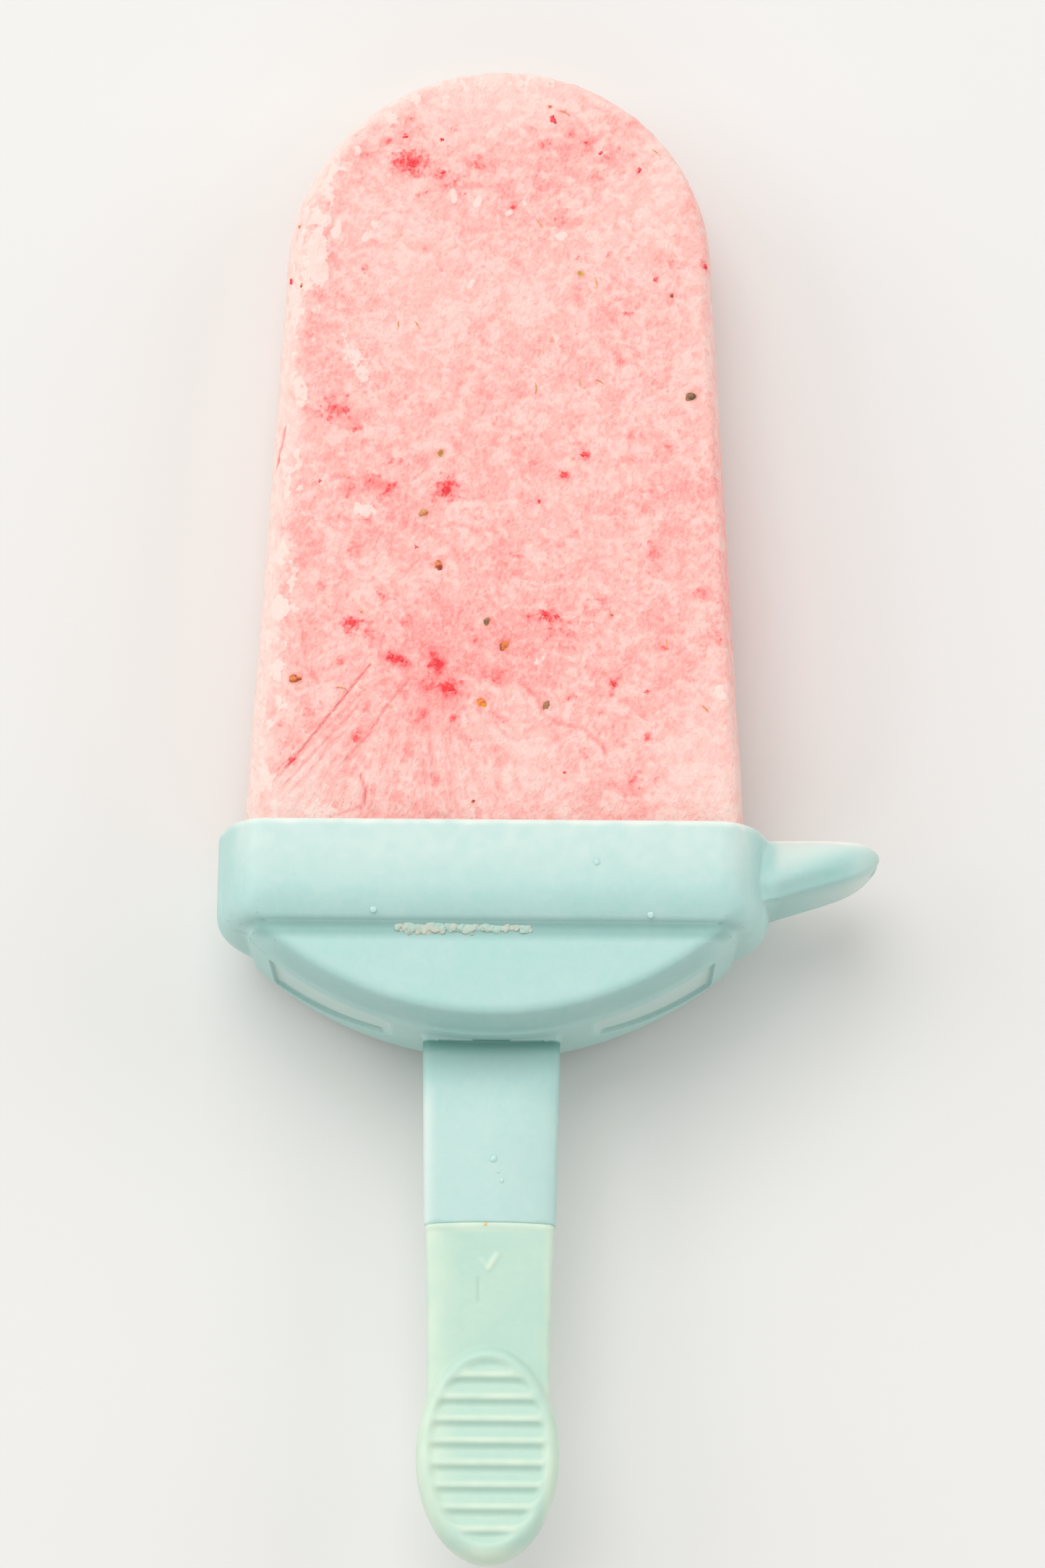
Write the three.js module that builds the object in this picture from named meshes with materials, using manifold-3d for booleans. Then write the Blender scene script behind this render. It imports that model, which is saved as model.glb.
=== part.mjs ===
// Home-made fruit ice pop on its reusable holder, lying on its back.
//
// The holder is a drip guard (a shallow tray round the foot of the ice, a thick D-shaped
// web under it and a sip spout at one end) that runs on into a flat stick, and a grip of a
// second colour that carries on the stick and ends in an oval, ribbed thumb pad.
//
// Millimetres. Every piece is drawn in the pop's own frame and then laid down together:
//   X  across the pop, the spout at +X
//   Y  along the pop, the tip at +Y, zero at the rim of the drip tray
//   Z  out of the front face, zero at the middle of the thickness

import * as THREE from 'three';
import { mergeVertices } from 'three/addons/utils/BufferGeometryUtils.js';
import Module from 'manifold-3d';

const wasm = await Module();
wasm.setup();

// ---- driving dimensions ---------------------------------------------------------------

// Touching pieces keep this far apart.
const GAP = 0.3;

// The drip tray.
const TRAY_HALF_WIDTH = 35.4;
const TRAY_HALF_DEPTH = 13.5;
const TRAY_HEIGHT = 13.6;
const TRAY_END_REACH = 6.6;
const TRAY_END_SQUARENESS = 1.9;
const TRAY_WALL = 1.6;
const TRAY_SIDE_CORNER = 3.2;
const TRAY_FACE_CORNER = 2.4;
const RIM_ROUNDING = 0.6;

// The ice: a slab with a half-round tip and gently tapering sides, standing on the tray's floor.
const TIP_RADIUS = 28.3;
const TIP_CENTRE = 76.8;
const SIDE_DRAFT = THREE.MathUtils.degToRad(2.76);
const ICE_FOOT = TRAY_WALL - TRAY_HEIGHT + GAP;
const ICE_FOOT_CORNER = 4.5;
const ICE_HALF_DEPTH_AT_FOOT = 10.2;
const ICE_HALF_DEPTH_AT_TIP = 8.9;
const ICE_EDGE_REACH = 3.4;
const ICE_EDGE_SQUARENESS = 2.2;

// Gentle waves that frozen fruit purée leaves in the faces: height, waves per mm across and
// along the pop (in radians), and phase.
const ICE_WAVES = [
  [0.05, 0.37, 0.23, 1.3], [0.04, 0.33, -0.29, 0.2], [0.04, 0.71, -0.52, 2.1], [0.03, 0.2, 0.93, 0.6],
];

// The D-shaped web below the tray, with a shallow panel sunk in each side of its curved wall.
const WEB_HALF_WIDTH = 31.0;
const WEB_SHOULDER = -14.4;
const WEB_BOTTOM = -26.4;
const WEB_ROOT = -10.4;
const WEB_HALF_DEPTH = 11.6;
const WEB_EDGE = 1.7;
const PANEL_INNER_X = 13.0;
const PANEL_OUTER_X = 28.2;
const PANEL_HALF_DEPTH = 8.2;
const PANEL_SINK = 0.7;

// The sip spout: a flat beak with a bore from the tray to its mouth. It narrows to the nose,
// where its back drops and its belly rises late.
const SPOUT_ROOT = 33.2;
const SPOUT_TIP = 49.9;
const SPOUT_TOP = -0.1;
const SPOUT_TOP_DROP = 1.7;
const SPOUT_BOTTOM = -9.1;
const SPOUT_BOTTOM_RISE = 4.4;
const SPOUT_NOSE_RISE = 2.5;
const SPOUT_HALF_DEPTH = 7.6;
const SPOUT_NOSE_HALF_DEPTH = 1.4;
const SPOUT_CREASE_AT_ROOT = 0.07;
const SPOUT_CREASE_AT_NOSE = 0.27;
const SPOUT_BACK_SQUARENESS = 2.3;
const SPOUT_BACK_LATENESS = 9;
const SPOUT_BELLY_LATENESS = 8;
const SPOUT_NARROWING_LATENESS = 3;
const SPOUT_BORE_RADIUS = 1.6;
const SPOUT_BORE_HEIGHT = -2.6;

// The flat stick and the grip that carries it on.
const STICK_ROOT = -20.0;
const STICK_HALF_WIDTH_AT_WEB = 8.75;
const STICK_HALF_WIDTH_AT_JOINT = 8.35;
const STICK_HALF_DEPTH = 2.4;
const STICK_SQUARENESS = 4.5;
const JOINT = -49.75;
const GRIP_HALF_WIDTH_AT_JOINT = 8.1;
const GRIP_HALF_WIDTH_AT_PAD = 7.7;
// The proud lip at the joint: how far down it, and how high, as shares of its width and height.
const LIP_HEIGHT = 0.2;
const LIP_WIDTH = 1.0;
const LIP_PROFILE = [[0, 0.4], [0.3, 1], [0.7, 0.7], [1, 0]];

// The oval thumb pad.
const PAD_CENTRE = -78.6;
const PAD_HALF_WIDTH = 8.95;
const PAD_HALF_LENGTH = 13.5;
const PAD_HALF_DEPTH = 3.7;
const PAD_EDGE = 1.5;
const PAD_TOE_EDGE = 2.6;
const PAD_EDGE_SQUARENESS = 2.4;
const DISH_CENTRE = -78.3;
const DISH_HALF_WIDTH = 7.45;
const DISH_HALF_LENGTH = 11.6;
const RIB_COUNT = 9;
const RIB_PITCH = 2.71;
const RIB_FIRST_VALLEY = -67.2;
const RIB_CREST_SINK = 0.2;
const RIB_VALLEY_SINK = 0.75;
const RIB_STEEP_SHARE = 0.22;
const RIB_FLOOR_SHARE = 0.4;
const RIB_FLOOR_SINK = 0.6;

// Strawberry seeds that stand out of the ice, half sunk: [x, y, turn in degrees].
const SEED_LENGTH = 1.7;
const SEED_WIDTH = 1.15;
const SEED_HEIGHT = 0.8;
const SEEDS = [
  [10.7, 74.7, 70], [25.3, 57.7, 15], [-7.3, 49.6, 80], [-9.3, 41.5, 35], [-7.4, 34.5, 90],
  [-17.1, 28.0, 60], [-1.0, 26.9, 120], [1.2, 23.6, 40], [6.7, 15.7, 130], [-1.7, 16.0, 100],
  [-25.5, 19.0, 10], [15.0, 27.8, 150], [22.8, 71.6, 75],
];

// Scrapes from the mould near the foot: [x, y] where each starts and ends, and its depth.
const SCRAPE_WIDTH = 0.7;
const SCRAPES = [
  [[-15.9, 20.7], [-26.1, 7.2], 0.35], [[-13.9, 18.6], [-23.9, 5.4], 0.22],
  [[-11.9, 19.4], [-18.0, 10.6], 0.18], [[-17.1, 6.1], [-16.1, 2.2], 0.3],
];
// Chips broken out of the long edges: [x, y, length along the edge].
const CHIP_BITE = 0.55;
const CHIP_DEPTH = 2.4;
const CHIP_LEVEL = 0.62;
const CHIPS = [[-29.5, 50.2, 4.8], [-28.4, 74.2, 2.6], [31.0, 24.0, 2.4]];

// Resting: the back of the tray's rim and of the tip touch the table, each on a small flat.
const REST_FLAT_SINK = 0.12;
const TIP_TOUCH = 101.3;
const TIP_TOUCH_HALF_DEPTH = 8.84;

// Fineness of the facets.
const ICE_FACE_INSETS = [6.5, 10, 15, 20, 25];
const ICE_ARC_STEPS = 30;
const ICE_SIDE_STEPS = 14;
const ICE_FOOT_STEPS = 10;
const CORNER_STEPS = 4;
const EDGE_STEPS = 5;
const SECTION_STEPS = 12;
const PAD_STEPS = 44;
const CURVE_STEPS = 32;
const RIM_STEPS = 3;
const BORE_STEPS = 12;
const SPOUT_SHARES = [0, 0.2, 0.4, 0.56, 0.7, 0.8, 0.88, 0.94, 0.98, 1];

// ---- small helpers --------------------------------------------------------------------

/** Signed power, for superellipses. */
function softened(value, squareness) {
  return Math.sign(value) * Math.abs(value) ** (2 / squareness);
}

/** Six times the enclosed volume; its sign tells which way the faces point. */
function sixfoldVolume(positions, index) {
  const [a, b, c] = [new THREE.Vector3(), new THREE.Vector3(), new THREE.Vector3()];
  let volume = 0;
  for (let i = 0; i < index.length; i += 3) {
    a.fromArray(positions, 3 * index[i]);
    b.fromArray(positions, 3 * index[i + 1]);
    c.fromArray(positions, 3 * index[i + 2]);
    volume += a.dot(b.cross(c));
  }
  return volume;
}

/** Closed skin over a stack of rings of equal length, each end shut by a fan round its middle. */
function skin(rings) {
  const count = rings[0].length;
  const points = rings.flat();
  const next = (k) => (k + 1) % count;
  const index = [];
  for (let r = 0; r + 1 < rings.length; r += 1) {
    const [low, high] = [r * count, (r + 1) * count];
    for (let k = 0; k < count; k += 1) {
      index.push(low + k, low + next(k), high + next(k), low + k, high + next(k), high + k);
    }
  }
  for (const r of [0, rings.length - 1]) {
    const hub = points.length;
    points.push(rings[r].reduce((sum, p) => sum.add(p), new THREE.Vector3()).divideScalar(count));
    for (let k = 0; k < count; k += 1) {
      const edge = [r * count + k, r * count + next(k)];
      index.push(hub, ...(r === 0 ? edge.reverse() : edge));
    }
  }
  const positions = points.flatMap((p) => p.toArray());
  if (sixfoldVolume(positions, index) < 0) index.reverse();
  const geometry = new THREE.BufferGeometry();
  geometry.setAttribute('position', new THREE.Float32BufferAttribute(positions, 3));
  geometry.setIndex(index);
  return geometry;
}

/** A closed three.js geometry as a solid that can be joined and cut. */
function solidOf(geometry) {
  const bare = geometry.clone();
  for (const name of ['normal', 'uv']) bare.deleteAttribute(name);
  const merged = mergeVertices(bare, 1e-4);
  const corners = merged.index.array;
  const kept = [];
  for (let i = 0; i < corners.length; i += 3) {
    const [a, b, c] = [corners[i], corners[i + 1], corners[i + 2]];
    if (a !== b && b !== c && c !== a) kept.push(a, b, c);
  }
  const mesh = new wasm.Mesh({
    numProp: 3,
    vertProperties: new Float32Array(merged.attributes.position.array),
    triVerts: new Uint32Array(kept),
  });
  return new wasm.Manifold(mesh);
}

/** A solid back as a three.js geometry. */
function geometryOf(solid) {
  const mesh = solid.getMesh();
  const geometry = new THREE.BufferGeometry();
  geometry.setAttribute('position', new THREE.Float32BufferAttribute(mesh.vertProperties, 3));
  geometry.setIndex([...mesh.triVerts]);
  geometry.computeVertexNormals();
  return geometry;
}

/** Ring in the plane y: a slab's section with flat faces and superelliptic ends. */
function slabRing(y, { halfWidth, halfDepth, endReach, squareness }) {
  const ring = [];
  for (const side of [1, -1]) {
    for (let k = 0; k <= SECTION_STEPS; k += 1) {
      const angle = side * (Math.PI * k / SECTION_STEPS - Math.PI / 2);
      const x = halfWidth - endReach + endReach * softened(Math.abs(Math.cos(angle)), squareness);
      ring.push(new THREE.Vector3(side * x, y, halfDepth * softened(Math.sin(angle), squareness)));
    }
  }
  return ring;
}

/** How far a quarter-round corner of this radius has drawn in, this far from its flat end. */
function cornerInset(radius, distance) {
  const left = Math.max(0, radius - distance);
  return radius - Math.sqrt(radius * radius - left * left);
}

// ---- resting position -----------------------------------------------------------------

const restTilt = Math.atan2(TRAY_HALF_DEPTH - TIP_TOUCH_HALF_DEPTH, TIP_TOUCH);
const restFlatWidth = REST_FLAT_SINK / Math.tan(restTilt);
const pop = new THREE.Group();
pop.rotation.x = -restTilt;
pop.position
  .set(0, restFlatWidth / 2, TRAY_HALF_DEPTH - REST_FLAT_SINK / 2)
  .applyAxisAngle(new THREE.Vector3(1, 0, 0), -restTilt);
pop.position.x = 0;
pop.updateMatrix();

/** Cuts a solid, drawn in the pop's frame, level with the table it lies on. */
function levelled(solid) {
  const [side, thickness] = [400, 20];
  const table = new THREE.BoxGeometry(side, side, thickness).translate(0, 0, -thickness / 2);
  return solid.subtract(solidOf(table.applyMatrix4(pop.matrix.clone().invert())));
}

// ---- the ice --------------------------------------------------------------------------

/** Half depth of the ice at a height above the rim. */
function iceHalfDepth(y) {
  const share = (y - ICE_FOOT) / (TIP_CENTRE + TIP_RADIUS - ICE_FOOT);
  return THREE.MathUtils.lerp(ICE_HALF_DEPTH_AT_FOOT, ICE_HALF_DEPTH_AT_TIP, share);
}

/** Half width of the ice's tapering sides, drawn in by an inset. */
function iceHalfWidth(y, inset = 0) {
  return (TIP_RADIUS - inset + (TIP_CENTRE - y) * Math.sin(SIDE_DRAFT)) / Math.cos(SIDE_DRAFT);
}

/** Outline of the ice seen from the front, drawn in by an inset: points [x, y], foot first. */
function iceOutline(inset) {
  const radius = TIP_RADIUS - inset;
  const foot = ICE_FOOT + inset;
  const corner = Math.max(ICE_FOOT_CORNER - inset, ICE_EDGE_REACH / 4);
  const tangentY = TIP_CENTRE + radius * Math.sin(SIDE_DRAFT);
  const half = [];
  const cornerX = iceHalfWidth(foot + corner, inset) - corner;
  for (let k = 0; k < ICE_FOOT_STEPS / 2; k += 1) half.push([2 * cornerX * k / ICE_FOOT_STEPS, foot]);
  for (let k = 0; k < CORNER_STEPS; k += 1) {
    const angle = Math.PI / 2 * k / CORNER_STEPS;
    half.push([cornerX + corner * Math.sin(angle), foot + corner * (1 - Math.cos(angle))]);
  }
  for (let k = 0; k < ICE_SIDE_STEPS; k += 1) {
    const y = THREE.MathUtils.lerp(foot + corner, tangentY, k / ICE_SIDE_STEPS);
    half.push([iceHalfWidth(y, inset), y]);
  }
  const quarter = Math.PI / 2 - SIDE_DRAFT;
  for (let k = 0; k < ICE_ARC_STEPS / 2; k += 1) {
    const angle = SIDE_DRAFT + 2 * quarter * k / ICE_ARC_STEPS;
    half.push([radius * Math.cos(angle), TIP_CENTRE + radius * Math.sin(angle)]);
  }
  const mirrored = half.slice(1).reverse().map(([x, y]) => [-x, y]);
  return [...half, [0, TIP_CENTRE + radius], ...mirrored];
}

/** How far the face of the ice is drawn in or out by its waves. */
function iceWave(x, y) {
  return ICE_WAVES.reduce((sum, [height, across, along, phase]) => (
    sum + height * Math.sin(across * x + along * y + phase)), 0);
}

/** Height of the ice's front face. */
function iceFace(x, y) {
  return iceHalfDepth(y) + iceWave(x, y);
}

/** The slab of ice: rings up the rounded edge from the back face to the front face. */
function iceSlab() {
  const edge = [];
  for (let k = -EDGE_STEPS; k <= EDGE_STEPS; k += 1) {
    const angle = Math.PI / 2 * k / EDGE_STEPS;
    edge.push({
      inset: ICE_EDGE_REACH * (1 - softened(Math.abs(Math.cos(angle)), ICE_EDGE_SQUARENESS)),
      level: softened(Math.sin(angle), ICE_EDGE_SQUARENESS),
    });
  }
  const levels = [
    ...ICE_FACE_INSETS.toReversed().map((inset) => ({ inset, level: -1 })),
    ...edge,
    ...ICE_FACE_INSETS.map((inset) => ({ inset, level: 1 })),
  ];
  return solidOf(skin(levels.map(({ inset, level }) => (
    iceOutline(inset).map(([x, y]) => new THREE.Vector3(x, y, level * iceFace(x, y)))))));
}

/** A seed lying in the front face. */
function seed([x, y, turn]) {
  const grain = new THREE.SphereGeometry(0.5, 6, 4);
  grain.rotateZ(Math.PI / 2);
  grain.scale(SEED_LENGTH, SEED_WIDTH, SEED_HEIGHT);
  grain.rotateZ(THREE.MathUtils.degToRad(turn));
  grain.translate(x, y, iceFace(x, y));
  return solidOf(grain);
}

/** A V-shaped scrape across the front face. */
function scrape([[x0, y0], [x1, y1], depth]) {
  const length = Math.hypot(x1 - x0, y1 - y0);
  const [x, y] = [(x0 + x1) / 2, (y0 + y1) / 2];
  const cutter = new THREE.CylinderGeometry(SCRAPE_WIDTH, SCRAPE_WIDTH, length, 3);
  cutter.rotateY(Math.PI);
  const bounds = new THREE.Box3().setFromBufferAttribute(cutter.attributes.position);
  cutter.translate(0, 0, -bounds.min.z - depth);
  cutter.rotateZ(Math.atan2(y1 - y0, x1 - x0) - Math.PI / 2);
  cutter.translate(x, y, iceHalfDepth(y));
  return solidOf(cutter);
}

/** A shallow chip out of a long edge of the front face. */
function chip([x, y, length]) {
  const thickness = 3 * CHIP_BITE;
  const flake = new THREE.SphereGeometry(0.5, 7, 5).scale(thickness, length, CHIP_DEPTH);
  flake.translate(
    Math.sign(x) * (iceHalfWidth(y) + thickness / 2 - CHIP_BITE), y, CHIP_LEVEL * iceHalfDepth(y),
  );
  return solidOf(flake);
}

function icePop() {
  let ice = iceSlab();
  for (const s of SCRAPES) ice = ice.subtract(scrape(s));
  for (const c of CHIPS) ice = ice.subtract(chip(c));
  for (const s of SEEDS) ice = ice.add(seed(s));
  return levelled(ice);
}

// ---- the drip guard -------------------------------------------------------------------

/** Ring of the tray's outer skin, or with a wall's thickness of its cavity. */
function trayRing(y, { wall = 0, sideInset = 0, faceInset = 0 }) {
  return slabRing(y, {
    halfWidth: TRAY_HALF_WIDTH - wall - sideInset,
    halfDepth: TRAY_HALF_DEPTH - wall - faceInset,
    endReach: TRAY_END_REACH - wall - faceInset,
    squareness: TRAY_END_SQUARENESS,
  });
}

/** Rings from the top of a straight wall down round the lower corners to a floor. */
function trayRings(top, floor, wall) {
  const sideCorner = TRAY_SIDE_CORNER - wall;
  const faceCorner = TRAY_FACE_CORNER - wall;
  const rings = [trayRing(top, { wall }), trayRing(floor + sideCorner, { wall })];
  for (let k = 1; k <= 2 * CORNER_STEPS; k += 1) {
    const rise = sideCorner * (1 - Math.sin(Math.PI / 4 * k / CORNER_STEPS));
    rings.push(trayRing(floor + rise, {
      wall,
      sideInset: cornerInset(sideCorner, rise),
      faceInset: cornerInset(faceCorner, rise),
    }));
  }
  return rings;
}

function trayShell() {
  const rounded = Array.from({ length: RIM_STEPS }, (_, k) => {
    const angle = Math.PI / 2 * k / RIM_STEPS;
    const inset = RIM_ROUNDING * (1 - Math.sin(angle));
    return trayRing(-RIM_ROUNDING * (1 - Math.cos(angle)), { sideInset: inset, faceInset: inset });
  });
  return solidOf(skin([...rounded, ...trayRings(-RIM_ROUNDING, -TRAY_HEIGHT, 0)]));
}

function trayCavity() {
  const above = 5;
  return solidOf(skin(trayRings(above, TRAY_WALL - TRAY_HEIGHT, TRAY_WALL)));
}

const webRadius = (WEB_HALF_WIDTH ** 2 + (WEB_SHOULDER - WEB_BOTTOM) ** 2)
  / (2 * (WEB_SHOULDER - WEB_BOTTOM));
const webCentre = WEB_BOTTOM + webRadius;

function web() {
  const half = Math.asin(WEB_HALF_WIDTH / webRadius);
  const outline = new THREE.Shape();
  outline.moveTo(-WEB_HALF_WIDTH, WEB_ROOT);
  outline.lineTo(-WEB_HALF_WIDTH, WEB_SHOULDER);
  outline.absarc(0, webCentre, webRadius, -Math.PI / 2 - half, -Math.PI / 2 + half, false);
  outline.lineTo(WEB_HALF_WIDTH, WEB_ROOT);
  const body = new THREE.ExtrudeGeometry(outline, {
    depth: 2 * (WEB_HALF_DEPTH - WEB_EDGE),
    curveSegments: CURVE_STEPS,
    bevelThickness: WEB_EDGE,
    bevelSize: WEB_EDGE,
    bevelOffset: -WEB_EDGE,
    bevelSegments: CORNER_STEPS,
  });
  return solidOf(body.translate(0, 0, WEB_EDGE - WEB_HALF_DEPTH));
}

/** The sector sunk into the web's curved wall on one side, -1 or 1. */
function webPanel(side) {
  const [near, far] = [PANEL_INNER_X, PANEL_OUTER_X].map((x) => Math.asin(x / webRadius));
  const [start, end] = [-Math.PI / 2 + near, -Math.PI / 2 + far];
  const floor = webRadius - PANEL_SINK;
  const outside = webRadius + PANEL_SINK;
  const outline = new THREE.Shape();
  outline.absarc(0, webCentre, outside, start, end, false);
  outline.absarc(0, webCentre, floor, end, start, true);
  const cutter = new THREE.ExtrudeGeometry(outline, {
    depth: 2 * PANEL_HALF_DEPTH, curveSegments: CURVE_STEPS / 2, bevelEnabled: false,
  });
  cutter.translate(0, 0, -PANEL_HALF_DEPTH);
  if (side < 0) cutter.rotateY(Math.PI);
  return solidOf(cutter);
}

/** Ring of the spout at a share of its length: a rounded top over a creased, flatter belly. */
function spoutRing(share) {
  const x = THREE.MathUtils.lerp(TRAY_HALF_WIDTH, SPOUT_TIP, share);
  const along = Math.max(share, 0);
  const top = SPOUT_TOP - SPOUT_TOP_DROP * along ** SPOUT_BACK_LATENESS;
  const bottom = SPOUT_BOTTOM + SPOUT_BOTTOM_RISE * share
    + SPOUT_NOSE_RISE * along ** SPOUT_BELLY_LATENESS;
  const narrowing = Math.sqrt(1 - along ** SPOUT_NARROWING_LATENESS);
  const halfDepth = Math.max(SPOUT_HALF_DEPTH * narrowing, SPOUT_NOSE_HALF_DEPTH);
  const creaseShare = THREE.MathUtils.lerp(SPOUT_CREASE_AT_ROOT, SPOUT_CREASE_AT_NOSE, along);
  const crease = THREE.MathUtils.lerp(bottom, top, creaseShare);
  const ring = [];
  for (let k = 0; k < 2 * SECTION_STEPS; k += 1) {
    const angle = Math.PI * k / SECTION_STEPS;
    const rise = Math.sin(angle);
    const reach = rise > 0 ? top - crease : crease - bottom;
    const squareness = rise > 0 ? SPOUT_BACK_SQUARENESS : 2;
    ring.push(new THREE.Vector3(
      x,
      crease + reach * softened(rise, squareness),
      halfDepth * softened(Math.cos(angle), squareness),
    ));
  }
  return ring;
}

function spout() {
  const rootShare = (SPOUT_ROOT - TRAY_HALF_WIDTH) / (SPOUT_TIP - TRAY_HALF_WIDTH);
  return solidOf(skin([rootShare, ...SPOUT_SHARES].map(spoutRing)));
}

function spoutBore() {
  const start = SPOUT_ROOT - TRAY_WALL;
  const length = SPOUT_TIP + TRAY_WALL - start;
  const bore = new THREE.CylinderGeometry(SPOUT_BORE_RADIUS, SPOUT_BORE_RADIUS, length, BORE_STEPS);
  bore.rotateZ(Math.PI / 2);
  return solidOf(bore.translate(start + length / 2, SPOUT_BORE_HEIGHT, 0));
}

/** Ring of the stick or the grip. */
function stickRing(y, halfWidth, swell = 0) {
  return slabRing(y, {
    halfWidth: halfWidth + swell,
    halfDepth: STICK_HALF_DEPTH + swell,
    endReach: STICK_HALF_DEPTH,
    squareness: STICK_SQUARENESS,
  });
}

function stick() {
  const foot = JOINT + GAP / 2;
  return solidOf(skin([
    stickRing(STICK_ROOT, STICK_HALF_WIDTH_AT_WEB),
    stickRing(WEB_BOTTOM, STICK_HALF_WIDTH_AT_WEB),
    stickRing(foot, STICK_HALF_WIDTH_AT_JOINT),
  ]));
}

function dripGuard() {
  return levelled(trayShell()
    .add(web())
    .add(spout())
    .add(stick())
    .subtract(webPanel(1))
    .subtract(webPanel(-1))
    .subtract(trayCavity())
    .subtract(spoutBore()));
}

// ---- the grip -------------------------------------------------------------------------

/** The lower stick, with a slightly proud lip at the joint. */
function gripShaft() {
  const top = JOINT - GAP / 2;
  const padTop = PAD_CENTRE + PAD_HALF_LENGTH;
  const width = (y) => THREE.MathUtils.mapLinear(
    y, top, padTop, GRIP_HALF_WIDTH_AT_JOINT, GRIP_HALF_WIDTH_AT_PAD,
  );
  const lip = LIP_PROFILE.map(([down, swell]) => {
    const y = top - down * LIP_WIDTH;
    return stickRing(y, width(y), swell * LIP_HEIGHT);
  });
  return solidOf(skin([...lip, stickRing(padTop, width(padTop)), stickRing(PAD_CENTRE, width(padTop))]));
}

/** The oval pad, its edge rounded more at the toe than round the rest. */
function padBody() {
  const rings = [];
  for (let level = -EDGE_STEPS; level <= EDGE_STEPS; level += 1) {
    const angle = Math.PI / 2 * level / EDGE_STEPS;
    const drawnIn = 1 - softened(Math.abs(Math.cos(angle)), PAD_EDGE_SQUARENESS);
    const z = PAD_HALF_DEPTH * softened(Math.sin(angle), PAD_EDGE_SQUARENESS);
    const ring = [];
    for (let k = 0; k < PAD_STEPS; k += 1) {
      const turn = 2 * Math.PI * k / PAD_STEPS;
      const lengthInset = (Math.sin(turn) < 0 ? PAD_TOE_EDGE : PAD_EDGE) * drawnIn;
      ring.push(new THREE.Vector3(
        (PAD_HALF_WIDTH - PAD_EDGE * drawnIn) * Math.cos(turn),
        PAD_CENTRE + (PAD_HALF_LENGTH - lengthInset) * Math.sin(turn),
        z,
      ));
    }
    rings.push(ring);
  }
  return solidOf(skin(rings));
}

/** What is taken out of the pad's front (1) or back (-1): an oval dish with a ribbed floor. */
function ribbedDish(side) {
  const above = 3;
  const overhang = 1;
  const profile = new THREE.Shape();
  profile.moveTo(RIB_FIRST_VALLEY + RIB_PITCH, above);
  for (let k = 0; k < RIB_COUNT; k += 1) {
    const valley = RIB_FIRST_VALLEY - k * RIB_PITCH;
    profile.lineTo(valley + RIB_STEEP_SHARE * RIB_PITCH, -RIB_CREST_SINK);
    profile.lineTo(valley, -RIB_VALLEY_SINK);
    profile.lineTo(valley - RIB_FLOOR_SHARE * RIB_PITCH, -RIB_FLOOR_SINK);
  }
  const last = RIB_FIRST_VALLEY - (RIB_COUNT - RIB_STEEP_SHARE) * RIB_PITCH;
  profile.lineTo(last, -RIB_CREST_SINK);
  profile.lineTo(last - RIB_PITCH, above);
  const width = 2 * (DISH_HALF_WIDTH + overhang);
  const ribs = new THREE.ExtrudeGeometry(profile, { depth: width, bevelEnabled: false });
  // The profile is drawn in (y, z); turning it stands it up in the pop's frame.
  const upright = new THREE.Matrix4().makeBasis(
    new THREE.Vector3(0, 1, 0), new THREE.Vector3(0, 0, 1), new THREE.Vector3(1, 0, 0),
  );
  ribs.applyMatrix4(upright).translate(-width / 2, 0, PAD_HALF_DEPTH);
  const oval = new THREE.CylinderGeometry(1, 1, 2 * above, PAD_STEPS);
  oval.rotateX(Math.PI / 2).scale(DISH_HALF_WIDTH, DISH_HALF_LENGTH, 1);
  oval.translate(0, DISH_CENTRE, PAD_HALF_DEPTH);
  if (side < 0) [ribs, oval].forEach((cutter) => cutter.rotateY(Math.PI));
  return solidOf(ribs).intersect(solidOf(oval));
}

function grip() {
  return levelled(gripShaft()
    .add(padBody())
    .subtract(ribbedDish(1))
    .subtract(ribbedDish(-1)));
}

// ---- the object -----------------------------------------------------------------------

const finishes = {
  ice_pop: { color: 0xf8bdb9, roughness: 0.55, metalness: 0 },
  guard: { color: 0xbfe5dc, roughness: 0.4, metalness: 0 },
  grip: { color: 0xcdebd6, roughness: 0.5, metalness: 0 },
};

/** Adds a finished solid to the pop as a named mesh with a material of its own. */
function place(name, solid) {
  const mesh = new THREE.Mesh(geometryOf(solid), new THREE.MeshStandardMaterial(finishes[name]));
  mesh.name = name;
  pop.add(mesh);
}

place('ice_pop', icePop());
place('guard', dripGuard());
place('grip', grip());

export default pop;
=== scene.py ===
"""Home-made fruit ice pop on its reusable holder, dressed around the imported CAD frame.

Shapes are drawn in the pop's own frame, in millimetres: X across the pop with the spout at +X,
Y along it with the tip at +Y and zero at the rim of the drip tray, Z out of the front face.
RestingPose lays each finished mesh down as the CAD lies, in metres.
"""

import logging
import math
import random
from dataclasses import dataclass
from enum import Enum
from typing import Iterable, Sequence

import bmesh
import bpy
import numpy as np
from mathutils import Matrix, Vector, noise
from mathutils.bvhtree import BVHTree


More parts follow.
